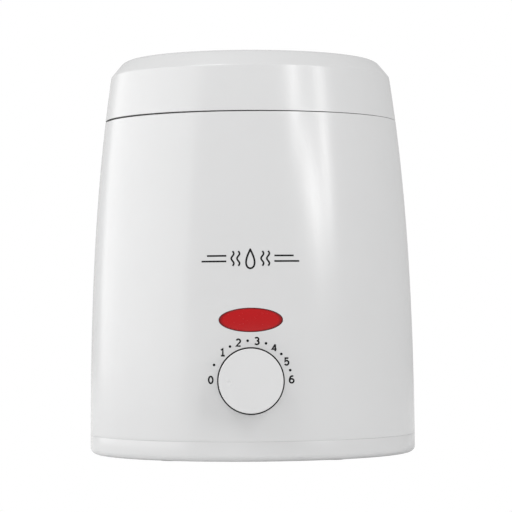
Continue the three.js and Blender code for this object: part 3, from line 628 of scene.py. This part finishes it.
def opening_edge(outline):
    """Steps that turn from the outer wall into an opening's side."""
    steps = []
    for k in range(5):
        turn = radians(22.5 * k)
        offset = OPENING_FILLET * (1 - sin(turn))
        steps.append((outline, offset, sunk_wall(OPENING_FILLET * (1 - cos(turn)))))
    return steps


def casing_windows():
    """The casing's windows: side, lowest and highest row, middle height, and the steps of its skin."""

    def pocket(turn, offset):
        u, dz = ellipse(POCKET_RADIUS, POCKET_RADIUS, turn, offset)
        return u + POCKET_OFF[0], dz + POCKET_OFF[1]

    shaft = partial(ellipse, SHAFT_HOLE, SHAFT_HOLE)
    lamp = partial(ellipse, *LAMP_OPENING)
    recess = partial(round_box, *INLET_RECESS)
    throat = partial(round_box, *INLET_THROAT)
    inner_wall = partial(wall_depth, inset=WALL)
    pocket_steps = [
        *opening_edge(pocket),
        (pocket, 0, sunk_wall(POCKET_LIP)), (pocket, 0, POCKET_FLOOR + 0.6),
        (pocket, -0.2, POCKET_FLOOR + 0.17), (pocket, -0.6, POCKET_FLOOR), (shaft, 0.3, POCKET_FLOOR),
        (shaft, 0, POCKET_FLOOR - 0.3), (shaft, 0, POCKET_BACK), (pocket, 2, POCKET_BACK),
        (pocket, 2, inner_wall),
    ]
    lamp_steps = [*opening_edge(lamp), (lamp, 0, inner_wall)]
    inlet_steps = [
        (recess, 0.15, wall_depth), (recess, 0, sunk_wall(0.15)), (recess, 0, INLET_SEAT),
        (throat, 0, INLET_SEAT), (throat, 0, INLET_BACK), (recess, -0.8, INLET_BACK),
        (recess, -0.8, inner_wall),
    ]
    return [
        (FRONT, *POCKET_ROWS, KNOB_Z, pocket_steps),
        (FRONT, *LAMP_ROWS, LAMP_Z, lamp_steps),
        (REAR, *INLET_ROWS, INLET_Z, inlet_steps),
    ]


def casing():
    """The outer casing, a turned skin with windows, and its knob pocket, whose deeper wall and floor carry
    a near-black material as painted shade.
    """
    profile, outer, inner = casing_rows()
    angles = full_turn(COLUMNS)
    verts = [(r * sin(a), AXIS_Y - r * cos(a), z) for r, z in profile for a in angles]

    def number(row, column):
        return row * COLUMNS + column % COLUMNS

    removed, faces = set(), []
    for side, z0, z1, centre_z, steps in casing_windows():
        middle = 0 if side == FRONT else COLUMNS // 2
        left, right = middle - HALF_WINDOW, middle + HALF_WINDOW
        count = round((z1 - z0) / ROW_STEP)
        frames = []
        for rows in (outer, inner):
            line = [rows[round(z0 + ROW_STEP * k, 3)] for k in range(count + 1)]
            removed |= {
                (min(a, b), c % COLUMNS) for a, b in zip(line, line[1:]) for c in range(left, right)
            }
            frames.append(
                [number(line[0], c) for c in range(left, right)]
                + [number(r, right) for r in line[:-1]]
                + [number(line[-1], c) for c in range(right, left, -1)]
                + [number(r, left) for r in reversed(line[1:])]
            )
        loops = window_skin(side, *[[verts[n] for n in f] for f in frames], centre_z, steps)
        numbers = [frames[0]]
        for loop in loops:
            numbers.append(list(range(len(verts), len(verts) + len(loop))))
            verts += loop
        numbers.append(frames[1])
        for low, high in zip(numbers, numbers[1:]):
            faces += bridge(low, high)
    for row in range(len(profile)):
        after = (row + 1) % len(profile)
        for column in range(COLUMNS):
            if (row, column) not in removed:
                beside = column + 1
                faces.append(
                    (number(row, column), number(row, beside), number(after, beside), number(after, column))
                )
    mesh = make_mesh(verts, faces)
    piece = add_piece("casing", mesh, WHITE, "housing", ["body_shell"])
    # painted shade: the pocket's wall below the lip and its floor get the near-black material, where shade
    # falls round the knob
    piece.data.materials.append(POCKET_PAINTED_SHADE)
    for face in piece.data.polygons:
        x, y, z = face.center / MM
        away = hypot(x - POCKET_OFF[0], z - KNOB_Z - POCKET_OFF[1])
        in_painted_shade = POCKET_FLOOR - 0.5 < AXIS_Y - y < wall_depth(x, z) - POCKET_LIP
        if away < POCKET_RADIUS + 0.1 and in_painted_shade:
            face.material_index = 1


def screw_posts():
    """The four posts inside the casing that the base screws bite into."""
    foot, top = BODY_LOW.z + 0.3, 34
    bore, radius = 1.6, 4
    post = rounded([(bore, foot, 0.3), (radius, foot, 0.3), (radius, top, 0.5), (bore, top, 0.3)], 2)
    skins = [turned(post, 32, True, spot) for spot in four_spots(POST_RING)]
    add_piece("screw_posts", make_mesh(*merged(skins)), WHITE, "housing")


# ---- base tray, feet and base screws


def stadium_tool(x, y, length, width, low, high):
    """A slot cutter, long along Y."""
    half = (length - width) / 2
    loop = []
    for a in full_turn(32):
        shift = half if sin(a) > 0 else -half
        loop.append((x + width / 2 * cos(a), y + shift + width / 2 * sin(a)))
    return loft([[(px, py, z) for px, py in loop] for z in (low, high)])


def base_tray():
    """The base cover: a rounded tray with vent slots, screw wells and seats for the feet."""
    seam = 0.04
    top = BODY_LOW.z - seam
    outer = wall_radius(top)
    lip = outer - WALL - 0.3
    lip_top = BASE_HIGH.z
    fillet, inside = 2.7, 4.0
    profile = [
        (0, BASE_LOW.z), *arc_points(outer - fillet, BASE_LOW.z + fillet, fillet, -90, 0, 14),
        *arc_points(outer - EDGE, top - EDGE, EDGE, 0, 90, 3), (lip, top), (lip, lip_top - 0.3),
        (lip - 0.3, lip_top), (lip - 1.6, lip_top), (lip - 1.6, inside + 2), (lip - 3.6, inside),
        (0, inside),
    ]
    mesh = make_mesh(*turned(profile))
    screws = four_spots(POST_RING)
    mesh = boolean(mesh, "UNION", [disc(5, 3, 10, spot) for spot in screws])
    wells = [disc(3.7, 0, 7.4, spot) for spot in screws] + [disc(1.9, 0, 12, spot, 24) for spot in screws]
    pockets = [disc(7.3, 0, 2.8, spot) for spot in four_spots(FOOT_RING)]
    vent_length, vent_width, vent_y = 24, 2.6, AXIS_Y - 26
    vents_x = [side * x for side in (-1, 1) for x in (3.5, 10.5, 17.5, 24.5)]
    vents = [stadium_tool(x, vent_y, vent_length, vent_width, 0, 9) for x in vents_x]
    drain = disc(1.1, 0, 9, (-26, AXIS_Y + 22), 16)
    mesh = boolean(mesh, "DIFFERENCE", [*wells, *pockets, *vents, drain])
    add_piece("base_tray", mesh, WHITE, "housing", ["base_cover"])


def rubber_feet():
    profile = [
        (0, 0.25), (3.6, 0.25), (4.2, 0), (5.9, 0), (6.3, 0.1), (6.8, 0.6), (7, 1.1), (7, 2.5), (0, 2.5),
    ]
    names = ("rear_right", "rear_left", "front_left", "front_right")
    for name, spot in zip(names, four_spots(FOOT_RING)):
        mesh = make_mesh(*turned(profile, 64, False, spot))
        add_piece(f"foot_{name}", mesh, RUBBER, "housing", [f"rubber_foot_{name}"])


def slotted_screw(name, head, height, shank, length, place_vertex, replaced):
    """A pan-head screw drawn head down along local Z, its seat at 0, moved by place_vertex."""
    fillet = height * 0.7
    profile = [
        (0, -height), *arc_points(head - fillet, -height * 0.3, fillet, -90, 0, 6), (head, 0),
        (shank, 0), (shank, length - shank), (shank * 0.2, length), (0, length),
    ]
    mesh = make_mesh(*turned(profile, 48, False, (0, 0)))
    reach, half, slot_depth = head * 1.2, 0.35, 0.65
    corners = ((-reach, -half), (reach, -half), (reach, half), (-reach, half))
    slot = [[(x, y, z) for x, y in corners] for z in (-height - 1, -height + slot_depth)]
    mesh = boolean(mesh, "DIFFERENCE", [loft(slot)])
    for vertex in mesh.vertices:
        vertex.co = Vector(place_vertex(vertex.co / MM)) * MM
    add_piece(name, mesh, ZINC, "housing", [replaced], 30)


def visible_screws():
    """The four screws of the base tray and the two of the inlet's flange."""
    for k, (x, y) in enumerate(four_spots(POST_RING)):
        name = f"base_screw_{k + 1}"
        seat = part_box(name)[0].z / MM + 2
        spin = Matrix.Rotation(radians(25 + 40 * k), 3, "Z")

        def upright(v, x=x, y=y, seat=seat, spin=spin):
            return spin @ v + Vector((x, y, seat))

        slotted_screw(f"tray_screw_{k + 1}", 3.2, 2, 1.3, 14, upright, name)
    for name, degrees in (("left", 20), ("right", 75)):
        node = f"inlet_screw_{name}"
        low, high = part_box(node)
        seat = high.y / MM - 1.5 - AXIS_Y
        spin = Matrix.Rotation(radians(degrees), 3, "Z")

        def outwards(v, x=(low.x + high.x) / 2 / MM, seat=seat, spin=spin):
            w = spin @ v
            return Vector((x + w.x, AXIS_Y + seat - w.z, INLET_Z + w.y))

        slotted_screw(f"flange_screw_{name}", 2.4, 1.5, 0.9, 7, outwards, node)


# ---- lid, pot and chamber


def lid_shell():
    """The lid: a skirt that stands in the casing's rim, the wall's upper end, a shoulder and a low dome."""
    low, top, skirt_low = PARTING_Z, LID_HIGH.z, LID_LOW.z + 0.1
    crease_z, rise = 174.3, 0.5
    crown_radius = 57.2
    outside = rounded(
        [
            (wall_radius(low), low, 0.12),
            *[(wall_radius(low + 1.2 * k), low + 1.2 * k) for k in range(1, 16)],
            (wall_radius(crease_z), crease_z, 1.3), (59.2, 180.6, 5.0), (crown_radius, top - rise, 2.5),
            (0, top),
        ],
        7,
    )
    inside = rounded(
        [
            (SKIRT_OUTER, low, 0.2), (SKIRT_OUTER, skirt_low, 0.3), (SKIRT_INNER, skirt_low, 0.3),
            (SKIRT_INNER, low + 2, 0.3), (wall_radius(low + 2) - LID_WALL, low + 2, 0.3),
            (wall_radius(173.5) - LID_WALL, 173.5, 1.2), (57.6, 178.6, 2.0), (55, top - 2.8, 0.0),
            (0, top - LID_WALL),
        ],
        4,
    )
    dome = [(crown_radius * k / 12, top - rise * (k / 12) ** 2) for k in range(12)]
    verts, faces = turned([*dome, *reversed(outside[:-1]), *inside])
    lean = tan(radians(LID_LEAN))
    verts = [(x, y, z - x * lean) for x, y, z in verts]
    add_piece("lid_shell", make_mesh(verts, faces), LID_WHITE, "cover", ["lid"])


def wax_pot():
    """The lift-out pot: a spun cup with a rolled rim."""
    wall, bead, rim, low = 1.0, 1.3, POT_HIGH.z, POT_LOW.z
    outer, outer_fillet = 50.4, 3.5
    inner, inner_fillet = outer - wall, 2.7
    profile = [
        (0, low), *arc_points(outer - outer_fillet, low + outer_fillet, outer_fillet, -90, 0, 8),
        *[(outer, low + outer_fillet + (rim - low - 7) * k / 12) for k in range(1, 13)],
        *arc_points(outer + bead - wall / 2, rim - bead, bead, -110, 160, 16),
        (inner, rim - bead - 0.6), *[(inner, rim - 3 - (rim - low - 8) * k / 12) for k in range(1, 12)],
        *arc_points(inner - inner_fillet, low + wall + inner_fillet, inner_fillet, 0, -90, 8),
        *[(inner * k / 14, low + wall) for k in range(12, 0, -1)], (0, low + wall),
    ]
    add_piece("spun_pot", make_mesh(*turned(profile)), SPUN, "pot", ["wax_pot"])


def lug_mesh(side, inner, sheet):
    """A bent lug that follows the pot's wall, an L of sheet turned over at its end."""
    low, top, turned_edge, reach = 151.5, 161.8, 157.6, 59.4
    section = rounded(
        [
            (inner, low, 0.3), (inner + sheet, low, 0.3), (inner + sheet, top - sheet, 1.0),
            (reach - sheet, top - sheet, 0.8), (reach - sheet, turned_edge, 0.3),
            (reach, turned_edge, 0.3), (reach, top, 1.9), (inner, top, 2.0),
        ],
        4,
    )
    middle_r = sum(r for r, _ in section) / len(section)
    middle_z = sum(z for _, z in section) / len(section)
    half = math.asin(9 / 55)
    loops = []
    for k in range(17):
        shrink = 0.2 if k in (0, 16) else 0.0
        a = (k / 8 - 1) * half
        loop = []
        for r, z in section:
            dr, dz = r - middle_r, z - middle_z
            size = hypot(dr, dz)
            r, z = r - dr / size * shrink, z - dz / size * shrink
            loop.append((side * r * cos(a), AXIS_Y + r * sin(a), z))
        loops.append(loop)
    return make_mesh(*loft(loops))


def rivet_mesh(side, seat, along):
    """A domed rivet whose axis lies along X."""
    radius, dome, shank, depth, height = 2.1, 0.9, 1.0, 0.75, 155.5
    turns = [radians(a) for a in range(15, 91, 15)]
    profile = [
        (0, dome), *[(radius * sin(t), dome * cos(t)) for t in turns], (shank, 0),
        (shank, -depth), (0, -depth),
    ]

    def point(r, out, a):
        return side * (seat + out), AXIS_Y + along + r * cos(a), height + r * sin(a)

    return make_mesh(*spun(profile, 32, point))


def pot_lugs():
    """Two lifting lugs, each held by two rivets."""
    inner, sheet = 50.7, 1.2
    for name, side in (("left", -1), ("right", 1)):
        mesh = lug_mesh(side, inner, sheet)
        add_piece(f"lifting_lug_{name}", mesh, SPUN, "pot", [f"pot_lug_{name}"])
        for end, along in (("front", -4.5), ("rear", 4.5)):
            mesh = rivet_mesh(side, inner + sheet + 0.15, along)
            add_piece(f"rivet_{name}_{end}", mesh, ZINC, "pot", [f"lug_rivet_{name}_{end}"])


def chamber():
    """The fixed heating chamber: a cup with a flange that lies on the casing's ledge, and a stud below."""
    inner, outer, flange = 51.3, 52.8, LEDGE_RADIUS - 0.6
    floor, under, top = 58.5, 56.0, CHAMBER_HIGH.z
    flange_under = top - 1.5
    stud, tip = 2.5, CHAMBER_LOW.z
    rim = rounded(
        [
            (outer, flange_under, 0.5), (flange, flange_under, 0.3), (flange, top, 0.3),
            (inner, top, 1.0), (inner, floor + 20),
        ],
        4,
    )[:-1]
    profile = [
        (0, tip), *arc_points(stud - 0.5, tip + 0.5, 0.5, -90, 0, 3), (stud, under),
        *arc_points(outer - 4, under + 4, 4, -90, 0, 6),
        *[(outer, under + 5 + (flange_under - under - 6) * k / 8) for k in range(9)],
        *rim,
        *[(inner, top - 2 - (top - floor - 6) * k / 10) for k in range(1, 11)],
        *arc_points(inner - 3, floor + 3, 3, 0, -90, 6),
        *[((inner - 3) * k / 10, floor) for k in range(9, 0, -1)], (0, floor),
    ]
    mesh = make_mesh(*turned(profile))
    add_piece("heated_chamber", mesh, ANODISED, "housing", ["heating_chamber"])


# ---- front controls and printing


def control_knob():
    """A flat round cap with a hollow back, a hub on the shaft and a dimple near its left edge."""
    face, base, radius, wall = KNOB_FACE, POCKET_FLOOR + 0.6, 14.0, 1.8
    edge, fillet = 13.9, 0.4
    hub, bore, hub_end = 4.6, 3.3, POCKET_FLOOR + 5.2
    rings = [edge - fillet, 12.6, 11.9] + [11.4 - 0.16 * k for k in range(27)] + [6.5, 5.5, 4, 2.5, 1]
    back = rounded(
        [
            (radius, base, 0.3), (radius - wall, base, 0.3), (radius - wall - 0.3, face - wall, 0.6),
            (hub, face - wall, 0.4), (hub, hub_end, 0.3), (bore, hub_end, 0.2),
            (bore, face - wall - 0.6), (0, face - wall - 0.6),
        ],
        3,
    )
    profile = [
        (0, face), *[(r, face) for r in reversed(rings)],
        *arc_points(edge - fillet, face - fillet, fillet, 90, 0, 5)[1:],
        *back,
    ]
    verts, faces = turned_out(profile, KNOB_Z, FRONT, 192)
    dent_u, dent_z, dent_radius, dent_depth = -9.4, KNOB_Z - 0.6, 1.2, 0.4
    dented = []
    for x, y, z in verts:
        away = hypot(x - dent_u, z - dent_z) / dent_radius
        if abs(AXIS_Y - y - face) < 0.01 and away < 2:
            y += dent_depth * math.exp(-1.6 * away * away)
        dented.append((x, y, z))
    mesh = make_mesh(dented, faces)
    add_piece("control_knob", mesh, KNOB_WHITE, "control_knob", ["knob"])


def lamp_lens():
    """The oval lens: a slightly domed front in the casing's opening, and a flange behind the wall."""
    half_u, half_z, edge = 13.75, 5.05, 0.35
    proud, dome, count = 0.05, 0.24, 144
    oval = partial(ellipse, half_u, half_z)
    flange_back, flange_front = sunk_wall(WALL + 1.3), sunk_wall(WALL + 0.3)
    steps = [(flange_back, -2), (flange_back, 1.6), (flange_front, 1.6), (flange_front, 0)]
    for k in range(6):
        turn = radians(18 * k)
        steps.append((sunk_wall(edge * (1 - sin(turn)) - proud), -edge * (1 - cos(turn))))
    loops = [outline_loop(FRONT, oval, LAMP_Z, depth, offset, count) for depth, offset in steps]
    for share in (0.92, 0.8, 0.65, 0.5, 0.35, 0.2, 0.08):
        loop = []
        for turn in full_turn(count):
            u, dz = ellipse(half_u - edge, half_z - edge, turn)
            u, z = u * share, LAMP_Z + dz * share
            loop.append(place(FRONT, u, wall_depth(u, z) + proud + dome * (1 - share * share), z))
        loops.append(loop)
    loops.append([place(FRONT, 0, wall_depth(0, LAMP_Z) + proud + dome, LAMP_Z)])
    add_piece("pilot_lens", make_mesh(*loft(loops)), LAMP_RED, "housing", ["lamp_lens"])


INK_LIFT = 0.03  # printing stands this much out of the wall


def ink_point(x, z, lift):
    return place(FRONT, x, wall_depth(x, z) + lift, z)


def ink_piece(name, verts, faces):
    add_piece(name, make_mesh(verts, faces), INK, "housing")


def curve(middle_x, middle_z, half_x, half_z, start, end, steps=14):
    """Points on part of an oval, from start to end in degrees."""
    turns = [radians(start + (end - start) * k / steps) for k in range(steps + 1)]
    return [(middle_x + half_x * cos(t), middle_z + half_z * sin(t)) for t in turns]


# Strokes of each figure, in a box one unit wide and high about its middle.
FIGURES = [
    [curve(0, 0, 0.5, 0.5, 0, 345, 23)],
    [[(-0.4, 0.32), (0.04, 0.5), (0.04, -0.5)], [(-0.42, -0.5), (0.5, -0.5)]],
    [curve(-0.02, 0.21, 0.47, 0.29, 160, -30) + [(-0.5, -0.5), (0.5, -0.5)]],
    [curve(-0.04, 0.26, 0.44, 0.24, 150, -90), curve(-0.04, -0.24, 0.5, 0.26, 90, -150)],
    [[(0.24, 0.5), (-0.5, -0.2), (0.55, -0.2)], [(0.24, 0.5), (0.24, -0.5)]],
    [[(0.42, 0.5), (-0.34, 0.5), (-0.42, 0.02)] + curve(-0.04, -0.18, 0.5, 0.32, 128, -150)],
    [curve(0.0, -0.2, 0.5, 0.3, 0, 345, 23), curve(0.1, -0.12, 0.6, 0.62, 62, 178)],
]


def ribbon(points, width, closed=False):
    """Loops of a flat printed line through points (x, z), with mitred corners."""
    loops = []
    count = len(points)
    for k, (x, z) in enumerate(points):
        here = Vector((x, z))
        before = Vector(points[k - 1]) if k or closed else here
        after = Vector(points[(k + 1) % count]) if k < count - 1 or closed else here
        back, ahead = (here - before), (after - here)
        back = (back if back.length else ahead).normalized()
        ahead = (ahead if ahead.length else back).normalized()
        along = (back + ahead).normalized()
        reach = width / 2 / max(along.dot(ahead), 0.6)
        side = Vector((-along.y, along.x)) * reach
        left, right = here + side, here - side
        corners = ((left, INK_LIFT), (right, INK_LIFT), (right, -INK_LIFT), (left, -INK_LIFT))
        loops.append([ink_point(*corner, lift) for corner, lift in corners])
    return loft(loops, closed)


def ink_lines(name, lines, width):
    """One printed piece of several lines. A line that ends where it starts, or nearly so, is closed."""
    skins = []
    for points in lines:
        closed = len(points) > 20 and math.dist(points[0], points[-1]) < width * 2
        skins.append(ribbon(points, width, closed))
    ink_piece(name, *merged(skins))


def dial_scale():
    """Figures from 0 to 6 clockwise round the knob, with a dot between each two."""
    radius, centre_z, tall, wide, stroke, dot = 17.5, KNOB_Z - 0.3, 2.95, 1.8, 0.72, 0.58
    angles = [178] + [134.4 - 26.5 * k for k in range(6)]
    for value, angle in enumerate(angles):
        a = radians(angle)
        x, z = radius * cos(a), centre_z + radius * sin(a)
        lines = [[(x + u * wide, z + v * tall) for u, v in line] for line in FIGURES[value]]
        ink_lines(f"dial_figure_{value}", lines, stroke)
    for k, (first, second) in enumerate(zip(angles, angles[1:])):
        a = radians((first + second) / 2)
        x, z = radius * cos(a), centre_z + radius * sin(a)
        ring = full_turn(24)
        loops = [[ink_point(x + dot * cos(t), z + dot * sin(t), lift) for t in ring]
                 for lift in (-INK_LIFT, INK_LIFT)]
        ink_piece(f"dial_dot_{k + 1}", *loft(loops))


def front_symbol():
    """A plain sign for melting wax: a drop between rising heat waves, with rules on each side."""
    middle = 89.3
    drop = []
    for k in range(48):
        t = 2 * pi * (k + 0.5) / 48
        drop.append((-2.5 * sin(t) * sin(t / 2) ** 1.2, middle - 0.2 + 4.1 * cos(t)))
    ink_lines("symbol_drop", [drop], 0.8)
    for name, side in (("left", -1), ("right", 1)):
        waves = [
            [
                (side * x + 0.55 * sin(pi * k / 8), middle - 3.2 + 6.4 * k / 24)
                for k in range(25)
            ]
            for x in (5.2, 7.7)
        ]
        rules = [
            [(side * (10.4 + length * k / 16), z) for k in range(17)]
            for z, length in ((middle + 1.2, 8.4), (middle - 1.2, 10.8))
        ]
        ink_lines(f"symbol_{name}", waves + rules, 0.75)


# ---- mains inlet


def mains_inlet():
    """The appliance inlet: a flange on the casing, a socket with rounded ends, and two contact pins."""
    face, back, socket_floor = INLET_FACE, INLET_LOW.y - AXIS_Y, 57
    flange_back = face - 2
    mouth = partial(round_box, 8, 4.2, 4.19)
    collar = partial(round_box, 9.4, 5.6, 5.59)
    flange = partial(round_box, 17, 8.5, 8.49)
    body = partial(round_box, 9.95, 6.25, 6.24)
    steps = [
        (mouth, -0.4, socket_floor), (mouth, 0, socket_floor + 0.4), (mouth, 0, face - 0.1),
        (mouth, 0.25, face + 0.3), (collar, -0.3, face + 0.3), (collar, 0, face), (flange, -0.6, face),
        (flange, -0.18, face - 0.18), (flange, 0, face - 0.6), (flange, 0, flange_back),
        (body, 0, flange_back), (body, 0, back + 0.5), (body, -0.5, back),
    ]
    loops = [outline_loop(REAR, shape, INLET_Z, depth, offset, 96) for shape, offset, depth in steps]
    mesh = make_mesh(*loft(loops))
    add_piece("inlet_socket", mesh, INLET_BLACK, "housing", ["mains_inlet"])
    for name in ("left", "right"):
        low, high = box_mm(f"inlet_pin_{name}")
        start, end = low.y - AXIS_Y, high.y - AXIS_Y
        profile = [
            (0, start), (0.9, start), (1.2, start + 0.3),
            (1.2, end - 0.9), (1.0, end - 0.35), (0.5, end), (0, end),
        ]
        mesh = make_mesh(*turned_out(profile, INLET_Z, REAR, 32, -(low.x + high.x) / 2))
        add_piece(f"contact_pin_{name}", mesh, BRASS, "housing", [f"inlet_pin_{name}"])


# ---- CAD nodes that are kept


def dress_kept_nodes():
    """Gives each CAD node that no piece replaces the material of its slot."""
    finishes = {
        "steel": ZINC, "silicone_red": SILICONE, "insulation_felt": FELT, "phenolic_dark": PHENOLIC,
        "brass": BRASS, "copper": COPPER, "nylon": NYLON, "neon_glass": NEON, "wire_brown": WIRE_BROWN,
        "wire_blue": WIRE_BLUE,
    }
    slots = {row["node"]: row["material_slot"] for row in frame["record"]["subparts"]}
    for name, node in frame["nodes"].items():
        if node.hide_render:
            continue
        node.data.materials.clear()
        node.data.materials.append(finishes[slots[name]])
        node.data.shade_smooth()
        node.data.set_sharp_from_angle(angle=radians(40))


# ---- stage


def white_to_camera(tree, other, output):
    """Shows plain white to the camera, and the other shader to the light that falls on the object."""
    kind = "ShaderNodeBackground" if output == "ShaderNodeOutputWorld" else "ShaderNodeEmission"
    seen = tree.nodes.new(kind)
    seen.inputs["Color"].default_value = (1, 1, 1, 1)
    seen.inputs["Strength"].default_value = 1.0
    path = tree.nodes.new("ShaderNodeLightPath")
    mix = tree.nodes.new("ShaderNodeMixShader")
    out = tree.nodes.new(output)
    tree.links.new(path.outputs["Is Camera Ray"], mix.inputs["Fac"])
    tree.links.new(other.outputs[0], mix.inputs[1])
    tree.links.new(seen.outputs[0], mix.inputs[2])
    tree.links.new(mix.outputs["Shader"], out.inputs["Surface"])


def floor():
    """The sheet that the object stands on, in metres."""
    half = 6.0
    corners = [(-half, -half, 0), (half, -half, 0), (half, half, 0), (-half, half, 0)]
    mesh = bpy.data.meshes.new("floor")
    mesh.from_pydata(corners, [], [(0, 1, 2, 3)])
    paper = bpy.data.materials.new("floor_paper")
    paper.use_nodes = True
    paper.node_tree.nodes.clear()
    sheet = paper.node_tree.nodes.new("ShaderNodeBsdfDiffuse")
    sheet.inputs["Color"].default_value = (0.9, 0.9, 0.9, 1)
    white_to_camera(paper.node_tree, sheet, "ShaderNodeOutputMaterial")
    mesh.materials.append(paper)
    plane = new_object("floor", mesh)


def softbox(name, azimuth, elevation, across, tall, brightness, lean=0.0):
    """A soft light that looks at the object's middle, with angles and sizes in degrees as seen from there.

    Azimuth 0 is in front and 90 to the right. lean turns the light about its own axis. Brightness 1 looks
    white."""
    distance = 1.4
    a, e = radians(azimuth), radians(elevation)
    aim = Vector((0, AXIS_Y * MM, 0.095))
    out = Vector((sin(a) * cos(e), -cos(a) * cos(e), sin(e)))
    light = bpy.data.lights.new(name, "AREA")
    light.shape = "RECTANGLE"
    light.size = 2 * distance * tan(radians(across / 2))
    light.size_y = 2 * distance * tan(radians(tall / 2))
    light.energy = brightness * pi * light.size * light.size_y
    lamp = new_object(name, light)
    lamp.location = aim + out * distance
    turn = out.to_track_quat("Z", "Y").to_matrix() @ Matrix.Rotation(radians(lean), 3, "Z")
    lamp.rotation_euler = turn.to_euler()
    lamp.visible_camera = False


def studio():
    """A pale fill from all round, and soft lights where the photograph's reflections put them."""
    world = bpy.data.worlds.new("studio")
    bpy.context.scene.world = world
    world.use_nodes = True
    world.node_tree.nodes.clear()
    fill = world.node_tree.nodes.new("ShaderNodeBackground")
    fill.inputs["Color"].default_value = (1, 1, 1, 1)
    fill.inputs["Strength"].default_value = 0.57
    white_to_camera(world.node_tree, fill, "ShaderNodeOutputWorld")
    softbox("left_wall", -91, 19, 91, 44, 1.3)
    softbox("left_core", -80, 19, 32, 44, 0.15)
    softbox("high_left", -43, 55, 20, 24, 5.2)
    softbox("key", 42, 42, 10, 12, 6)
    softbox("streak_near", 35, 30, 5, 28, 8.1)
    softbox("streak_far", 58, 27, 5, 38, 7)
    softbox("streak_join", 46, 12, 5, 14, 8.5, 60)
    bpy.context.scene.view_settings.view_transform = "Standard"


def camera():
    """A long lens at about the pilot lamp's height, turned slightly up."""
    distance, height = 1.065, 0.0676
    azimuth, aim_right, aim_up, roll = 0.4, 0.113, 1.311, 0.42  # degrees
    a = radians(azimuth)
    data = bpy.data.cameras.new("camera")
    data.lens, data.sensor_width = 161.4, 36
    data.clip_start, data.clip_end = 0.05, 50
    eye = new_object("camera", data)
    bpy.context.scene.camera = eye
    eye.location = (distance * sin(a), AXIS_Y * MM - distance * cos(a), height)
    turn = Matrix.Rotation(a - radians(aim_right), 4, "Z")
    tilt = Matrix.Rotation(radians(90 + aim_up), 4, "X")
    spin = Matrix.Rotation(-radians(roll), 4, "Z")
    eye.rotation_euler = (turn @ tilt @ spin).to_euler()


casing()
screw_posts()
base_tray()
rubber_feet()
visible_screws()
lid_shell()
wax_pot()
pot_lugs()
chamber()
control_knob()
lamp_lens()
dial_scale()
front_symbol()
mains_inlet()
dress_kept_nodes()
floor()
studio()
camera()
